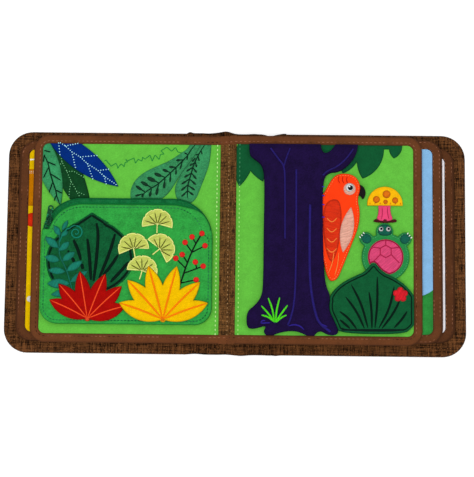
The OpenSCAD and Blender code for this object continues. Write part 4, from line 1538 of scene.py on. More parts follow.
@dataclass
class Pouch:
    """The zip pouch: a puffed felt front, its zip and its seams."""

    maker: Maker
    centre: tuple[float, float] = (-107.45, -19.8)
    width: float = 169.5
    height: float = 125.0
    top_r: float = 40.0
    low_r: float = 17.0
    low: float = 12.8
    inner_z: float = 15.8
    top: float = 18.2
    band: float = 6.4
    puff: float = 1.6
    rim: Rim | None = None

    def outline(self) -> Points:
        """The pouch's outline, anticlockwise from the middle of its foot."""
        cx, cy = self.centre
        w, h = self.width / 2, self.height / 2
        corners = (
            (cx + w - self.low_r, cy - h + self.low_r, self.low_r, -90, 10),
            (cx + w - self.top_r, cy + h - self.top_r, self.top_r, 0, 24),
            (cx - w + self.top_r, cy + h - self.top_r, self.top_r, 90, 24),
            (cx - w + self.low_r, cy - h + self.low_r, self.low_r, 180, 10),
        )
        bows = [arc((x, y), r, turn, turn + 90, count) for x, y, r, turn, count in corners]
        return np.concatenate([[[cx, cy - h]], *bows])

    def lift(self, points: Points) -> np.ndarray:
        """How far the puffed front rises above the CAD's flat one."""
        if self.rim is None:
            self.rim = Rim([respaced(self.outline(), 2.0)])
        d = np.clip(self.rim.distance(points) - 8.0, 0, None)
        x, y = points[:, 0], points[:, 1]
        soft = 0.22 * np.sin(0.09 * x + 1.0) * np.sin(0.11 * y) + 0.12 * np.sin(0.05 * x - 0.16 * y)
        return (1 - np.exp(-d / 14.0)) * (self.puff + soft)

    def build(self) -> None:
        """Makes the front, the zip, the slider and the seams."""
        loops = [self.closed_end(respaced(loop, 1.1)) for loop in top_loops("pouch_front")]
        points, faces = fill(loops, (0.2, 0.7, 1.5, 2.4, 3.6, 4.8, 8.0, 12.0), 5.0, 1.1)
        d = Rim([respaced(loop, 1.1) for loop in loops]).distance(points)
        wall = Rim([respaced(self.outline(), 1.0)]).distance(points) < 2.0
        seam = self.seam_line()
        raised = self.lift(points)
        dent = 0.45 * hump(Rim([seam], closed=False).distance(points), 0, 0.9)
        top = self.top - Cut(round=1.5, drop=1.3).fall(d) + raised - dent
        low = np.where(wall, self.low, self.inner_z) + np.where(wall, 0, raised)
        low = np.where((d < 0.05) & ~wall, self.inner_z + 0.3, low)
        # The last value lays painted shade along the front's cut edge
        front = solid("pouch_front_panel", points, faces, top, np.minimum(low, top - 0.4), np.exp(-d / 0.8))
        self.maker.add(front, Felt("pouch_felt", (49, 160, 66), 0.15), Body.FRONT, "pouch_front")
        thread, size = Thread("pouch_felt", (12, 76, 46), (40, 106, 74)), Stitch(3.35, 2.5, 1.0, 0.6)

        def on_front(p: Points) -> np.ndarray:
            """The height of the seam, sunk a little in the puffed front."""
            return self.top + self.lift(p) - 0.33

        self.maker.sew("pouch_seam", [seam], on_front, thread, Body.FRONT, size)
        self.zip()

    def closed_end(self, loop: Points) -> Points:
        """The front's outline, drawn over the zip where it runs out at its right end."""
        centre = np.array([self.centre[0] + self.width / 2, self.centre[1] + self.height / 2]) - self.top_r
        away = loop - centre
        r = np.linalg.norm(away, axis=1)
        turn = np.degrees(np.arctan2(away[:, 1], away[:, 0]))
        slot = (np.abs(r - self.top_r + self.band) < 0.4) & (turn > 15.5) & (turn < 75)
        wider = (self.top_r - 0.7 - r) * eased((75 - turn) / 42)
        end = (np.abs(turn - 14.5) < 1.5) & (r < self.top_r - 0.9) & (r > self.top_r - self.band - 0.5)
        return (centre + away * np.where(slot, 1 + wider / r, 1.0)[:, None])[~end]

    def seam_line(self) -> Points:
        """The seam inside the edge, which keeps clear of the zip."""
        line = ring(respaced(self.outline(), 1.5))
        return beside(line, 3.6 + 5.9 * eased((line[:, 1] - 0.5) / 11.0))

    def chain_line(self, inset: float) -> Points:
        """The zip's line at an inset from the outline, from its left end to its right end."""
        cx, cy = self.centre
        r = self.top_r - inset
        y = cy + self.height / 2 - self.top_r
        x = self.width / 2 - self.top_r
        return np.concatenate([arc((cx - x, y), r, 165, 90, 24), arc((cx + x, y), r, 90, 15, 24)])

    def zip(self) -> None:
        """The tapes, the coil, the stops, the slider and its puller."""
        for node in ("zip_tape_outer", "zip_tape_inner"):
            made = cloth(f"{node}_cloth", top_loops(node), *levels(node), Cut(0.3, 0.2), 2.0, 1.0)
            self.maker.add(made, Tape("zip_cloth", (18, 136, 62), 0.5), Body.FRONT, node)
        coil, size = Satin("zip_teeth", (24, 132, 72), 0.0, 0.6), Stitch(1.15, 0.85, 2.5, 1.35)
        middle, level = self.band / 2, self.inner_z + 0.62
        # The inner row starts one point later, so that the loops of the two rows don't all stand side by side
        for node, line in (
            ("zip_teeth_outer", self.chain_line(middle - 0.75)),
            ("zip_teeth_inner", self.chain_line(middle + 0.75)[1:-1]),
        ):
            self.maker.sew(f"{node}_coil", [line], level, coil, Body.FRONT, size, node)
        metal = Enamel("zip_metal", (10, 84, 52))
        for part, body in (("stops", Body.FRONT), ("slider", Body.SLIDER), ("puller", Body.PULLER)):
            node = f"zip_{part}"
            self.maker.add(soft_copy(f"{node}_metal", node, 0.24, 4), metal, body, node)
        level, size = self.inner_z + 0.1, Cord(0.6, 0.0, 1.6)
        for row, inset, colour in (("outer", 0.7, (8, 92, 48)), ("inner", 5.9, (14, 112, 54))):
            line, thread = self.chain_line(inset), Thread("zip_cloth", colour)
            self.maker.sew(f"zip_piping_{row}", [line], level, thread, Body.FRONT, size)


GINKGO = Satin("ginkgo_satin", (190, 200, 92), 70.0, 0.9, 0.0)
FOLIAGE = Felt("deep_green_felt", (18, 86, 48), 0.1)
SKIN = Satin("skin_satin", (228, 164, 144), 75.0, 0.9, 0.4)
SHELL = Satin("pink_felt", (230, 72, 120), 50.0, 0.5, 0.3)
PUPIL = Satin("black_satin", (20, 17, 20), 90.0)
GRASS = Satin("grass_satin", (82, 236, 30), 15.0, 0.5, 0.0)
LEAF_CUT = Cut(0.6, 0.5, 1.3, 0.15)
FIGURE_CUT = Cut(0.9, 0.8)
RIGHT_MIDDLE = (87.75, 2.2)


@dataclass(frozen=True)
class Picture:
    """A felt or embroidered picture piece that takes its outline from a CAD node."""

    node: str
    finish: Finish
    cut: Cut
    step: float = 3.0
    edge_step: float = 0.9


@dataclass
class Page:
    """Pictures on one page: what is cut out for it, and how its threads and patches are placed."""

    maker: Maker
    lift: Lift | None = None
    body: Body = Body.FRONT
    mid: tuple[float, float] = (-103.85, 2.2)
    pieces: tuple[Picture, ...] = ()

    def at(self, line: Sequence[Sequence[float]]) -> Points:
        """Points measured from the middle of the page, in the row frame."""
        return np.array(line, float) + np.array(self.mid)

    def lay(self) -> None:
        """Cuts out the pieces."""
        for p in self.pieces:
            shape = top_loops(p.node), *levels(p.node), p.cut, p.step, p.edge_step, self.lift
            made = cloth(f"{p.node}_piece", *shape)
            self.maker.add(made, p.finish, self.body, p.node)

    def sew(
        self,
        name: str,
        lines: Sequence[Points],
        height: float,
        thread: Finish,
        size: Stitch | Cord,
        *nodes: str,
    ) -> None:
        """Sews lines of the row frame at a height above what the pictures lie on."""
        level = (lambda p: height + self.lift(p)) if self.lift else height
        self.maker.sew(name, lines, level, thread, self.body, size, *nodes)

    def draw(
        self,
        name: str,
        lines: Sequence[Sequence[Sequence[float]]],
        height: float,
        thread: Finish,
        size: Stitch | Cord,
        *nodes: str,
    ) -> None:
        """Sews lines that are measured from the middle of the page."""
        self.sew(name, [self.at(line) for line in lines], height, thread, size, *nodes)

    def patch(
        self,
        name: str,
        loops: Sequence[Points],
        low: float,
        high: float,
        finish: Finish,
        cut: Cut = Cut(0.8, 0.4),
    ) -> None:
        """A small embroidered patch, measured from the middle of the page."""
        made = cloth(name, [self.at(loop) for loop in loops], low, high, cut, 1.2, 0.6, self.lift)
        self.maker.add(made, finish, self.body)


@dataclass
class PouchPictures(Page):
    """The plants on the front of the pouch."""

    pieces: tuple[Picture, ...] = (
        Picture("shell_leaf", Felt("deep_green_felt", (18, 90, 50), 0.22, 0.4), Cut(0.6, 0.5, 1.9, 0.35)),
        Picture("fern", Satin("fern_satin", (18, 126, 104), 25.0), Cut(1.2, 0.7), 1.2, 0.6),
        Picture("ginkgo_leaves", GINKGO, Cut(0.7, 0.5, 1.5, 0.25), 1.8, 0.7),
        Picture("berry_stem", Satin("stem_satin", (3, 18, 13), 10.0), Cut(0.6, 0.45), 1.2, 0.6),
        Picture("berries", Satin("berry_satin", (255, 36, 32), 20.0, 0.5, 0.3), Cut(2.6, 0.7), 1.0, 0.6),
        Picture("red_leaf", Felt("red_felt", (166, 11, 8), 0.1, 0.6), Cut(0.7, 0.6, 1.4, 0.2)),
        Picture("yellow_leaf", Felt("gold_felt", (240, 188, 2), 0.08, 0.6), Cut(0.7, 0.6, 1.4, 0.2)),
    )

    def build(self) -> None:
        """Makes the pieces and the threads on them."""
        self.lay()
        self.shell_threads()
        self.fan_threads()
        self.lobe_threads()

    def shell_threads(self, rib_z: float = 18.65, curl_z: float = 19.2) -> None:
        """The dark border and ribs of the shell leaf, and the curl of the fern."""
        above = [loop for node in ("red_leaf", "ginkgo_leaves", "fern") for loop in top_loops(node)]
        ribs = (
            ((-55.8, -2.2), (-50.2, -14.0), (-45.9, -30.8)),
            ((-42.2, -1.0), (-39.8, -16.9), (-37.7, -41.5)),
            ((-33.5, 14.7), (-31.4, 4.1), (-32.4, -16.8), (-35.0, -42.5)),
            ((-14.9, 4.2), (-19.6, -13.7), (-29.6, -39.5)),
            ((-11.7, -16.6), (-18.3, -27.5), (-28.2, -39.5)),
            ((-1.1, -23.4), (-8.4, -32.3), (-18.3, -43.3)),
            ((-61.2, -12.8), (-57.5, -17.5), (-54.6, -24.3)),
        )
        for name, lines, size in (
            ("border", clear_runs(largest("shell_leaf"), 2.6), Cord(1.25, 0.2, 1.0)),
            ("ribs", [bent(self.at(rib), 4) for rib in ribs], Cord(1.75, 0.35, 1.0)),
        ):
            clear = [run for line in lines for run in runs_where(line, ~inside(line, above))]
            self.sew(f"shell_leaf_{name}", clear, rib_z, DARK_THREAD, size)
        t = np.linspace(0, 1, 60)
        r = 7.4 * (1 - t) + 1.2 * t
        a = np.radians(150 - 640 * t)
        curl = np.stack([-53.6 + r * np.cos(a), 5.2 + r * np.sin(a)], axis=1)
        stem = bent([[-69.5, -4.0], [-67.0, 3.0], [-62.5, 9.0]])
        thread = Thread("fern_satin", (16, 122, 100))
        self.draw("fern_curl", [np.concatenate([stem, curl])], curl_z, thread, Cord(0.7, 0.3))

    def fan_threads(self, vein_z: float = 19.7, rim_z: float = 19.45, spread: float = 29) -> None:
        """The veins of the ginkgo leaves, which spread from each base by an angle in degrees."""
        veins = []
        for base, turn in (((26.8, 13.6), 89), ((3.7, -11.3), 95), ((29.0, -11.2), 44), ((12.5, -32.4), 78)):
            for k in range(6):
                a = math.radians(turn + spread * (k - 2.5))
                ray = np.array([math.cos(a), math.sin(a)])
                veins.append([base + 1.5 * ray, base + 12.6 * ray])
        self.draw("ginkgo_veins", veins, vein_z, Thread("ginkgo_satin", (86, 90, 26)), Cord(0.5, 0.6))
        rims = [line for loop in top_loops("ginkgo_leaves") for line in clear_runs(loop, 0.6)]
        self.sew("ginkgo_rims", rims, rim_z, Thread("ginkgo_satin", (232, 236, 140)), Cord(0.5, 0.0))

    def lobe_threads(self) -> None:
        """A vein along each lobe of the red and the yellow leaf, and the knot where they meet."""
        red = ((42, 154.7), (44.5, 130.7), (47, 100.3), (47.3, 69), (46.2, 43.9), (39.4, 18.9))
        gold = ((46, 160), (52, 132.8), (54.5, 106), (54, 76), (51.5, 45.8), (47, 20.5))
        # Each lobe is [reach, direction in degrees]
        for name, base, lobes, height, slot, colour, radius in (
            ("red_leaf", (-40.5, -79.2), red, 20.0, "red_felt", (255, 78, 34), 0.6),
            ("yellow_leaf", (33.6, -79.3), gold, 20.9, "gold_felt", (252, 124, 4), 0.95),
        ):
            veins = []
            for reach, turn in lobes:
                a = math.radians(turn)
                end = (base[0] + 0.97 * reach * math.cos(a), base[1] + 0.97 * reach * math.sin(a))
                middle = ((base[0] + end[0]) / 2, (base[1] + end[1]) / 2 + 1.0)
                veins.append(bent([base, middle, end], 3))
            self.draw(f"{name}_veins", veins, height, Thread(slot, colour), Cord(radius, 0.75))
            tuft = [circle(self.at([base])[0] - (0, 0.6), 2.0, 16, 0.9)]
            knot = cloth(f"{name}_knot", tuft, height - 0.4, height + 0.8, Cut(1.4, 0.9), 1.2, 0.5, self.lift)
            self.maker.add(knot, Satin(slot, colour, 90.0, 0.5, 0.2), self.body)


@dataclass
class LeftPictures(Page):
    """The leaves that hang from the head of the left page."""

    pieces: tuple[Picture, ...] = (
        Picture("dark_leaf", Felt("dark_leaf_cloth", (18, 68, 34), 0.16), LEAF_CUT),
        Picture("blue_leaf", Felt("blue_leaf_cloth", (5, 44, 122), 0.1), LEAF_CUT),
        Picture("sage_leaf", Felt("sage_leaf_cloth", (56, 147, 93), 0.2), LEAF_CUT),
        Picture("teal_leaf_low", Felt("teal_leaf_cloth", (56, 142, 89), 0.2), LEAF_CUT),
        Picture("teal_leaf_high", Felt("teal_leaf_cloth", (56, 142, 89), 0.2), LEAF_CUT),
    )

    def build(self) -> None:
        """Makes the leaves and their veins."""
        self.lay()
        self.dotted_veins()
        self.dark_veins()
        self.leaflets()

    def dotted_veins(self) -> None:
        """Light dots of thread on the blue and the dark leaf."""
        blue = (
            (
                (-72.2, 96), (-67.1, 92.7), (-60.5, 86.9), (-52, 81.8), (-44.7, 75.1), (-33.8, 68.1),
                (-27.6, 62.5), (-15.7, 54.4),
            ),
            ((-67.1, 92.7), (-54.8, 95.5)), ((-52, 81.8), (-35.4, 83.5)), ((-33.8, 68.1), (-23.4, 69.7)),
            ((-74, 95.7), (-72.4, 84)), ((-60.5, 86.7), (-56.6, 71.2)), ((-44.7, 75.1), (-39, 59.9)),
            ((-27.6, 62.4), (-25.6, 55)),
        )
        dark = (
            ((-71.6, 82.7), (-70.3, 76.7), (-65.2, 67.6), (-60.8, 57.2), (-54.8, 47.2), (-52.4, 42.9)),
            ((-65.2, 67.6), (-58, 67.2), (-48.4, 61.7)),
            ((-60.8, 57.2), (-62.1, 48.5), (-62.4, 41.5)),
            ((-70.3, 76.7), (-73.2, 72.6)),
            ((-54.8, 47.2), (-47.5, 44.1)),
        )
        for leaf, veins, colour, size in (
            ("blue_leaf", blue, (176, 240, 255), 1.3),
            ("dark_leaf", dark, (126, 204, 142), 1.05),
        ):
            dot = Stitch(2.5, 0.9 * size, size, 0.55)
            self.draw(f"{leaf}_veins", veins, levels(leaf)[1], Thread(f"{leaf}_cloth", colour), dot)

    def dark_veins(self) -> None:
        """The dark veins of the sage leaf, and the zigzag sewn on the page."""
        veins = (
            (
                (-88.2, 83.9), (-84.2, 75.5), (-81.5, 64.6), (-78.7, 56.2), (-75.6, 47.9), (-74.4, 42.0),
                (-71.3, 33.7),
            ),
            ((-84.3, 76.4), (-76.3, 73.1)), ((-83.7, 70.5), (-88.2, 60.4)), ((-81.5, 64.6), (-70.9, 58.0)),
            ((-79.1, 55.8), (-82.2, 45.7)), ((-76.0, 48.3), (-68.9, 45.0)), ((-75.1, 42.9), (-77.0, 37.4)),
            ((-88.0, 83.5), (-88.7, 76.5)), ((-88.4, 88.1), (-81.8, 86.5)),
        )
        thread = Thread("sage_leaf_cloth", (4, 38, 22))
        self.draw("sage_leaf_veins", veins, levels("sage_leaf")[1], thread, Cord(0.68, 0.5))
        zigzag = (
            (-27.9, 78.2), (-26.1, 79.3), (-24.4, 76.1), (-23.9, 76.5), (-21.3, 73.0), (-16.6, 76.1),
            (-15.1, 73.8), (-14.5, 70.8), (-13.3, 73.1), (-11.2, 75.4), (-9.8, 74.4), (-8.1, 72.6),
            (-7.4, 76.9), (-4.9, 77.3), (-6.9, 80.5), (-5.2, 78.3), (-3.9, 79.0), (1.5, 81.6),
            (3.1, 76.3), (5.7, 80.4), (8.1, 79.1), (9.6, 78.4), (10.0, 82.5), (12.5, 80.5),
            (17.5, 84.6), (19.8, 78.5), (22.5, 84.8), (26.7, 80.3), (27.9, 85.4), (31.6, 85.9),
            (28.4, 89.1), (34.3, 92.8), (38.9, 88.8), (42.8, 92.6), (45.2, 88.1), (49.4, 87.1),
        )
        thread = Thread("page_felt", (30, 132, 58))
        self.draw("page_zigzag", [zigzag], levels("left_page")[1], thread, Cord(0.42, 0.0))

    def leaflets(self) -> None:
        """The dark stems of the two long leaves, with club-shaped leaflets on both sides."""
        stems = (
            (
                (62.7, 95.7), (57.1, 88.4), (55.3, 84.4), (50.4, 79.3), (43.8, 72.4), (38.5, 66.9),
                (32.9, 61.8), (27.0, 56.0), (20.3, 51.6), (13.2, 46.9), (9.5, 43.0),
            ),
            (
                (72.0, 95.4), (68.5, 89.9), (65.3, 84.1), (62.9, 78.7), (60.5, 72.9), (59.2, 67.1),
                (57.5, 61.0), (55.8, 54.9), (55.5, 49.1), (55.6, 41.9),
            ),
        )
        # Each leaflet is [tip, foot, width]
        leaflets = (
            ((51.7, 87.2), (55.7, 85.1), 1.5), ((43.7, 79.4), (50.4, 80.0), 2.4),
            ((36.8, 72.8), (43.8, 72.4), 2.6), ((30.3, 70.1), (38.5, 66.9), 3.0),
            ((22.1, 66.0), (32.9, 62.2), 3.6), ((15.2, 61.8), (27.3, 56.4), 4.2),
            ((8.9, 57.6), (19.9, 51.6), 3.5), ((3.9, 53.3), (13.2, 47.3), 3.0),
            ((3.4, 43.1), (11.1, 45.4), 2.2), ((54.4, 79.7), (55.3, 84.4), 1.5),
            ((47.7, 70.3), (50.1, 78.6), 1.7), ((43.7, 64.8), (43.8, 72.0), 1.8),
            ((38.0, 57.2), (38.5, 66.2), 2.1), ((32.0, 51.0), (32.9, 61.1), 2.6),
            ((24.5, 44.1), (26.6, 55.3), 2.9), ((17.9, 42.6), (19.6, 50.2), 2.8),
            ((10.5, 42.2), (12.0, 45.8), 2.0), ((63.2, 85.2), (65.7, 85.9), 1.5),
            ((59.4, 78.3), (62.9, 81.9), 1.8), ((57.3, 74.3), (62.2, 77.2), 2.0),
            ((54.0, 68.4), (60.2, 72.5), 2.0), ((51.8, 62.4), (58.8, 66.4), 2.2),
            ((49.4, 55.5), (57.1, 60.6), 2.2), ((49.1, 49.1), (55.8, 54.9), 2.2),
            ((49.6, 43.0), (55.5, 48.8), 2.0), ((69.6, 85.6), (68.5, 89.6), 1.4),
            ((66.8, 78.7), (65.5, 84.1), 1.6), ((64.4, 72.6), (62.9, 77.6), 1.8),
            ((64.5, 67.2), (60.9, 71.8), 2.0), ((64.3, 60.7), (59.2, 66.8), 2.1),
            ((64.0, 55.0), (57.5, 60.6), 2.1), ((63.0, 49.6), (56.2, 54.2), 2.1),
            ((61.7, 44.5), (55.5, 49.1), 2.0),
        )
        necks, pads = [], []
        for tip, foot, width in leaflets:
            tip, foot = self.at([tip, foot])
            along = tip - foot
            reach = float(np.linalg.norm(along))
            turn = math.degrees(math.atan2(along[1], along[0]))
            necks.append(np.array([foot, foot + 0.5 * along]))
            pads.append(circle(foot + 0.66 * along, 0.34 * reach, 16, min(1.0, width / (0.68 * reach)), turn))
        height = levels("teal_leaf_low")[1]
        thread = Thread("teal_leaf_cloth", (9, 46, 28))
        self.draw("long_leaf_stems", [bent(stem) for stem in stems], height, thread, Cord(0.65, 0.5))
        self.sew("long_leaf_necks", necks, height, thread, Cord(0.6, 0.2))
        made = cloth("long_leaf_leaflets", pads, height - 0.1, height + 0.5, Cut(0.8, 0.5), 1.0, 0.6)
        self.maker.add(made, Satin("teal_leaf_cloth", (14, 58, 36), 60.0), self.body)


@dataclass
class RightPictures(Page):
    """The tree pocket, the leaf pocket and the foliage of the right page."""

    body: Body = Body.BACK
    mid: tuple[float, float] = RIGHT_MIDDLE
    pieces: tuple[Picture, ...] = (
        Picture("foliage_left", FOLIAGE, Cut(0.6, 0.5, 1.4, 0.15)),
        Picture("foliage_right", FOLIAGE, Cut(0.6, 0.5, 1.4, 0.15)),
        Picture("tree_pocket", Felt("tree_felt", (30, 17, 59), 0.2), Cut(1.5, 1.4, 2.4, 0.3), 4.0, 1.1),
        Picture("tree_bark", Satin("bark_satin", (42, 29, 124), 80.0), Cut(0.9, 0.5), 1.6, 0.8),
        Picture("leaf_pocket", Felt("deep_green_felt", (18, 88, 50), 0.12), Cut(1.5, 1.4), 3.0, 1.0),
        Picture("flower", Satin("spot_felt", (222, 26, 40), 30.0), Cut(1.6, 0.7), 1.0, 0.6),
    )

    def build(self) -> None:
        """Makes the pieces and their threads."""
        self.lay()
        self.pocket_threads()
        self.tree_threads()
        self.grass()

    def pocket_threads(self, seam_z: float = 24.8, rib_z: float = 24.5, foot_z: float = 24.9) -> None:
        """The seam and the dark ribs of the leaf pocket."""
        edge = clear_runs(largest("leaf_pocket"), 2.8)
        self.sew("leaf_pocket_seam", edge, seam_z, DARK_THREAD, Cord(0.65, 0.0))
        ribs = (
            ((15, -78), (20, -82.2), (24.9, -86.5)),
            ((14.7, -69.8), (23.9, -76.8), (31.4, -86.9)),
            ((20.6, -55.6), (31.2, -69.4), (39, -86.3)),
            ((26.1, -43.6), (36.1, -62.5), (42.4, -85.8)),
            ((43.3, -50.4), (45.9, -66.3), (46.3, -86.3)),
            ((51.5, -35.7), (51.7, -61.4), (49.2, -85.7)),
            ((68, -45), (63.4, -67.1), (53.1, -85.7)),
            ((73.9, -57.6), (67.3, -71.4), (56, -86.2)),
            ((80.6, -69.1), (75.5, -77.2), (67.9, -85.3)),
        )
        self.draw("leaf_pocket_ribs", [bent(rib) for rib in ribs], rib_z, DARK_THREAD, Cord(1.25, 0.6, 1.0))
        foot, thread = np.linspace((16.6, -88.1), (77.4, -87.4), 20), Thread("deep_green_felt", (8, 28, 26))
        self.draw("leaf_pocket_foot", [foot], foot_z, thread, Cord(0.9, 0.2))

    def tree_threads(self, seam_z: float = 24.65, tick_z: float = 24.95, root_z: float = 24.75) -> None:
        """The tree's edge seam, the blanket stitches on its open side and the lines of its roots."""
        edge, size = clear_runs(largest("tree_pocket"), 2.4), Stitch(3.2, 2.4, 0.6, 0.4)
        self.sew("tree_pocket_seam", edge, seam_z, Thread("tree_felt", (20, 10, 48)), size)
        ticks = [((-3.0, y), (-0.3, y - 0.2)) for y in (52.9, 43.9, 35.0, 22.6)]
        self.draw("tree_pocket_ticks", ticks, tick_z, Thread("bark_satin", (52, 40, 172)), Cord(0.55, 0.5))
        roots = (
            ((-35.3, -84.8), (-30.5, -83.2), (-25.5, -83.9), (-22.5, -85.5), (-19.7, -88.4)),
            ((-62.2, -82.0), (-60.1, -79.0), (-57.5, -80.2)),
            ((-62.2, -82.2), (-52.5, -81.8)),
            ((-6.9, -79.2), (-2.0, -83.4), (3.0, -84.8)),
        )
        lines, thread = [bent(root) for root in roots], Thread("bark_satin", (44, 32, 132))
        self.draw("tree_pocket_roots", lines, root_z, thread, Cord(0.75, 0.8))

    def grass(self) -> None:
        """The tuft's blades, each a cord of satin thread."""
        blades = (
            ((-48.8, -81.3), (-53.7, -73.8), (-61.6, -65.3)),
            ((-48.8, -81.3), (-50.5, -68.9), (-54.9, -57.7)),
            ((-47.7, -80.7), (-46.7, -68.9), (-43.8, -57.0)),
            ((-47.7, -81.2), (-42.4, -73.1), (-36.0, -64.5)),
            ((-47.2, -81.2), (-41.8, -76.3), (-37.0, -74.1)),
            ((-49.3, -80.7), (-54.7, -75.9), (-61.4, -74.4)),
        )
        lines, level = [bent(blade, 3) for blade in blades], levels("grass_tuft")[0] + 0.4
        self.draw("grass_blades", lines, level, GRASS, Cord(0.95, 0.55), "grass_tuft")


@dataclass
class Figures(Page):
    """The loose felt figures in the pockets and the ones sewn on the page."""

    body: Body = Body.BACK
    mid: tuple[float, float] = RIGHT_MIDDLE
    pieces: tuple[Picture, ...] = (
        Picture("parrot", Felt("orange_felt", (254, 62, 18), 0.05, 0.35), FIGURE_CUT),
        Picture("parrot_patches", SKIN, Cut(0.6, 0.4), 1.6, 0.7),
        Picture("parrot_beak", Satin("black_satin", (20, 16, 18), 20.0), FIGURE_CUT, 1.2, 0.6),
        Picture("mushroom_cap", Felt("cap_felt", (250, 184, 14), 0.06, 0.35), FIGURE_CUT),
        Picture("mushroom_stalk", Felt("pink_felt", (228, 70, 116), 0.06, 0.35), FIGURE_CUT),
        Picture("tortoise", Felt("deep_green_felt", (40, 138, 70), 0.1, 0.45), FIGURE_CUT),
        Picture("tortoise_shell", SHELL, Cut(1.2, 0.5), 1.6, 0.7),
    )

    def build(self) -> None:
        """Makes the figures and what is sewn on them."""
        self.lay()
        self.parrot()
        self.mushroom()
        self.tortoise()

    def outline(self, node: str, height: float, thread: Thread, width: float) -> None:
        """Stitches just inside a figure's edge."""
        runs = clear_runs(largest(node), 1.7)
        self.sew(f"{node}_outline_stitches", runs, height - 0.05, thread, Stitch(2.6, 1.5, width, 0.4))

    def parrot(self, top: float = 22.3) -> None:
        """The parrot's eye, wing and feathers."""
        self.outline("parrot", top, Thread("orange_felt", (255, 150, 84)), 0.55)
        white, glint = Satin("skin_satin", (240, 238, 236), 0.0), Thread("skin_satin", (248, 248, 248))
        red = Satin("orange_felt", (246, 50, 14), 100.0, 0.5, 0.5)
        wing = ((4, 40), (14, 41), (17, 28), (16, 8), (12, -14), (6, -24), (0, -6), (-2, 18), (-1, 32))
        for name, loop, low, high, finish, cut in (
            ("eye_white", circle((24.5, 52.5), 4.2, 24), 0.3, 0.95, white, Cut(0.8, 0.3)),
            ("eye_black", circle((25.2, 52.2), 2.5, 20), 0.6, 1.25, PUPIL, Cut(1.0, 0.3)),
            ("eye_glint", circle((24.2, 53.4), 0.8, 12), 0.9, 1.5, glint, Cut(0.4, 0.2)),
            ("wing", softened(wing), -0.1, 0.7, red, Cut(1.0, 0.5)),
        ):
            self.patch(f"parrot_{name}", [loop], top + low, top + high, finish, cut)
        feathers = [[[2, 22 - 10 * k], [7, 17 - 10 * k], [12, 22 - 10 * k]] for k in range(4)]
        feathers += [[[4, -32], [8, -22], [9, -12]], [[10, -35], [13, -24], [14, -12]]]
        crest = [[[14 + 4 * k, 64.5 - 0.6 * k], [13 + 4 * k, 60], [15 + 4 * k, 56.5]] for k in range(3)]
        dots = [[[22, 22], [23, 8], [20, -4]], [[26, 24], [26, 10], [22, -6]]]
        for name, lines, height, slot, colour, size in (
            ("feathers", feathers, top + 0.7, "orange_felt", (255, 138, 60), Cord(0.45, 0.6)),
            ("crest", crest, top, "orange_felt", (196, 30, 10), Cord(0.5, 0.6)),
            ("patch_dots", dots, top + 0.6, "skin_satin", (206, 120, 100), Stitch(2.4, 0.8, 0.5, 0.35)),
        ):
            self.draw(f"parrot_{name}", [bent(line) for line in lines], height, Thread(slot, colour), size)

    def mushroom(self, x: float = 59.5, y: float = 36.5, top: float = 21.4) -> None:
        """The spots on the cap, the gills and the moss of the mushroom at x, y."""
        spots = [
            circle((x + dx, y + dy), radius)
            for dx, dy, radius in ((-8.5, 4.5, 3.4), (1.5, 9.8, 3.9), (10, 3.8, 3.0), (0.5, 2.2, 2.2))
        ]
        self.patch("mushroom_spots", spots, top - 0.1, top + 0.55, Satin("cap_felt", (250, 116, 10), 35.0))
        gills = [bent([[x - 15 + 5 * k, y - 0.2], [x - 14.6 + 5 * k, y + 1.4]], 1) for k in range(7)]
        self.draw("mushroom_gills", gills, top, Thread("cap_felt", (196, 92, 12)), Cord(0.4, 0.3))
        bows = ((-3, -2.4, -3.5), (2.6, 2.2, 4))
        lines = [bent([[x + a, y - 3], [x + b, y - 9], [x + c, y - 15]]) for a, b, c in bows]
        self.draw("mushroom_stalk_lines", lines, top, Thread("pink_felt", (168, 34, 76)), Cord(0.4, 0.6))
        tufts = ((-13, -18.4), (-9, -14), (-4, -17), (0, -13.5), (5, -17), (10, -14), (13, -18.4))
        moss = softened([[x + dx, y + dy] for dx, dy in tufts])
        wine = Satin("pink_felt", (112, 22, 34), 10.0)
        self.patch("mushroom_moss", [moss], top - 2.2, top + 0.5, wine, Cut(1.0, 0.8))

    def tortoise(self, x: float = 60.0, y: float = -16.0, top: float = 22.3) -> None:
        """The eyes, feet, toes and shell pattern of the tortoise at x, y."""
        self.outline("tortoise", top, Thread("deep_green_felt", (96, 170, 120)), 0.5)
        skin, white = Satin("deep_green_felt", (12, 98, 78), 60.0), Satin("skin_satin", (242, 242, 240), 0.0)
        crown = ((-8, 21), (-7, 30), (-1, 33), (5.5, 30), (6.5, 21))
        head = softened([[x + dx, y + dy] for dx, dy in crown])
        self.patch("tortoise_head", [head], top - 0.1, top + 0.55, skin)
        for side, name in ((-1, "tortoise_left"), (1, "tortoise_right")):
            cx, cy = x - 1 + 3.6 * side, y + 27.5
            eye, pupil = circle((cx, cy), 2.3, 20), circle((cx + 0.3, cy + 0.2), 1.25, 16)
            self.patch(f"{name}_eye_white", [eye], top + 0.2, top + 1.0, white, Cut(0.7, 0.3))
            self.patch(f"{name}_eye_black", [pupil], top + 0.7, top + 1.3, PUPIL, Cut(0.6, 0.3))
            foot = circle((x + side * 19, y + 18), 5.2, 22, 0.9, 45 * side)
            self.patch(f"{name}_foot", [foot], top - 0.1, top + 0.5, skin)
            toes = [
                [[x + side * (reach + 1.8 * k), y + up - 2.0 * k] for reach, up in ((21, 22.6), (22.2, 24.0))]
                for k in range(3)
            ]
            self.draw(f"{name}_toes", toes, top + 0.5, Thread("skin_satin", (240, 240, 236)), Cord(0.55, 0.3))
        rim = beside(ring(respaced(largest("tortoise_shell"), 1.0)), 0.9)
        self.sew("tortoise_shell_rim", [rim], top + 0.5, Thread("pink_felt", (150, 20, 56)), Cord(0.6, 0.0))
        rays = [np.array([math.cos(a), math.sin(a)]) for a in np.radians(60 * np.arange(7) + 30)]
        hexagon = [(x, y + 5.5) + 6.2 * ray for ray in rays]
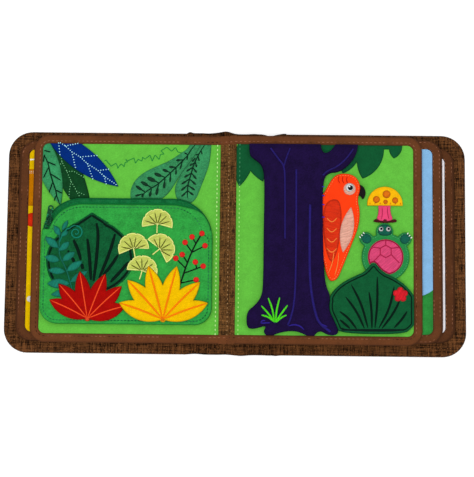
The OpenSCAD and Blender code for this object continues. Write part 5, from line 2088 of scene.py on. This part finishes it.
        spokes = [[near, (x, y + 2) + 15.2 * ray] for near, ray in zip(hexagon[:6], rays)]
        lines, thread = [hexagon] + [s for s in spokes if s[1][1] > y - 6], Thread("pink_felt", (168, 30, 70))
        self.draw("tortoise_shell_pattern", lines, top + 0.6, thread, Cord(0.5, 0.1))


@dataclass
class Studio:
    """The floor, the lamps and the camera at the photograph's place."""

    target: tuple[float, float, float] = (1.364, 5.305, 0.0)
    distance: float = 1260.0
    elevation: float = 83.986
    azimuth: float = 5.269
    roll: float = -4.648
    lens: float = 94.905

    def build(self) -> None:
        """Sets the floor, the world, the lamps and the camera."""
        self.floor()
        self.world()
        self.lamp("Key", (-0.45, -0.55, 1.9), 1.6, 20.0)
        self.lamp("Fill", (0.8, 0.8, 1.7), 1.6, 9.0)
        self.camera()

    def floor(self, half: float = 4.0, z: float = -0.0004, glow: float = 0.22) -> None:
        """A white floor that keeps the book's shadow and glows a little for the camera alone."""
        mesh = bpy.data.meshes.new("Floor")
        square = [(-half, -half, z), (half, -half, z), (half, half, z), (-half, half, z)]
        mesh.from_pydata(square, [], [(0, 1, 2, 3)])
        material = bpy.data.materials.new("White floor")
        material.use_nodes = True
        tree = material.node_tree
        shader = tree.nodes["Principled BSDF"]
        shader.inputs["Base Color"].default_value = (0.96, 0.96, 0.96, 1)
        shader.inputs["Roughness"].default_value = 0.9
        shader.inputs["Specular IOR Level"].default_value = 0.0
        path = add_node(tree, "ShaderNodeLightPath").outputs
        seen = maths(tree, "MAXIMUM", path["Is Camera Ray"], path["Is Glossy Ray"])
        light = add_node(tree, "ShaderNodeEmission", Strength=maths(tree, "MULTIPLY", seen, glow))
        both = add_node(tree, "ShaderNodeAddShader")
        feed(tree, both.inputs[0], shader.outputs[0])
        feed(tree, both.inputs[1], light.outputs[0])
        feed(tree, tree.nodes["Material Output"].inputs["Surface"], both.outputs[0])
        mesh.materials.append(material)
        placed("Floor", mesh)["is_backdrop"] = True

    def world(self) -> None:
        """An even pale sky that shows as white."""
        world = bpy.data.worlds.new("Studio")
        bpy.context.scene.world = world
        world.use_nodes = True
        tree = world.node_tree
        sky = tree.nodes["Background"].inputs
        sky["Color"].default_value = (1, 1, 1, 1)
        path = add_node(tree, "ShaderNodeLightPath").outputs
        seen = maths(tree, "MAXIMUM", path["Is Camera Ray"], path["Is Transmission Ray"])
        level = add_node(tree, "ShaderNodeMapRange", Value=seen, To_Min=0.66, To_Max=1.0)
        feed(tree, sky["Strength"], level.outputs["Result"])

    def lamp(self, name: str, place: tuple[float, float, float], size: float, power: float) -> None:
        """A soft square lamp that faces the book.

        Args:
            name: its name.
            place: where it hangs, in metres.
            size: its side, in metres.
            power: its power, in watts.
        """
        data = bpy.data.lights.new(name, "AREA")
        data.size = size
        data.energy = power
        obj = placed(name, data)
        obj.location = place
        obj.rotation_euler = (-Vector(place)).to_track_quat("-Z", "Y").to_euler()

    def camera(self) -> None:
        """The camera, a little turned and tilted towards the foot of the book."""
        a, e = math.radians(self.azimuth), math.radians(self.elevation)
        back = Vector((math.sin(a) * math.cos(e), -math.cos(a) * math.cos(e), math.sin(e)))
        right = (-back).cross(Vector((0, 0, 1))).normalized()
        up = right.cross(-back)
        r = math.radians(self.roll)
        x_axis = right * math.cos(r) + up * math.sin(r)
        y_axis = up * math.cos(r) - right * math.sin(r)
        data = bpy.data.cameras.new("Camera")
        data.lens = self.lens
        data.sensor_width = 36.0
        data.clip_start = 0.05
        data.clip_end = 20.0
        obj = placed("Camera", data)
        turn = Matrix((x_axis, y_axis, back)).transposed().to_4x4()
        obj.matrix_world = Matrix.Translation((Vector(self.target) + back * self.distance) * MM) @ turn
        bpy.context.scene.camera = obj


def empty_scene() -> None:
    """Removes what Blender's start-up file brings."""
    for obj in list(bpy.data.objects):
        bpy.data.objects.remove(obj)


def corners() -> list[list[float]]:
    """The shown object's box as plain lists."""
    return [[round(v, 6) for v in p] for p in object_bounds()]


def main() -> None:
    """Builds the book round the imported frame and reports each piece."""
    logging.basicConfig(level=logging.INFO, format="%(message)s", stream=sys.stdout)
    empty_scene()
    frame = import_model()
    FRAME_NODES.update(frame["nodes"])
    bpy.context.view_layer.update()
    bpy.context.scene.view_settings.view_transform = "Standard"
    maker = Maker(Sewing())
    Case(maker).build()
    Leaves(maker).build()
    pouch = Pouch(maker)
    pouch.build()
    LeftPictures(maker).build()
    PouchPictures(maker, pouch.lift).build()
    RightPictures(maker).build()
    Figures(maker).build()
    Studio().build()
    LOG.info("%d pieces", maker.count)


if __name__ == "__main__":
    main()
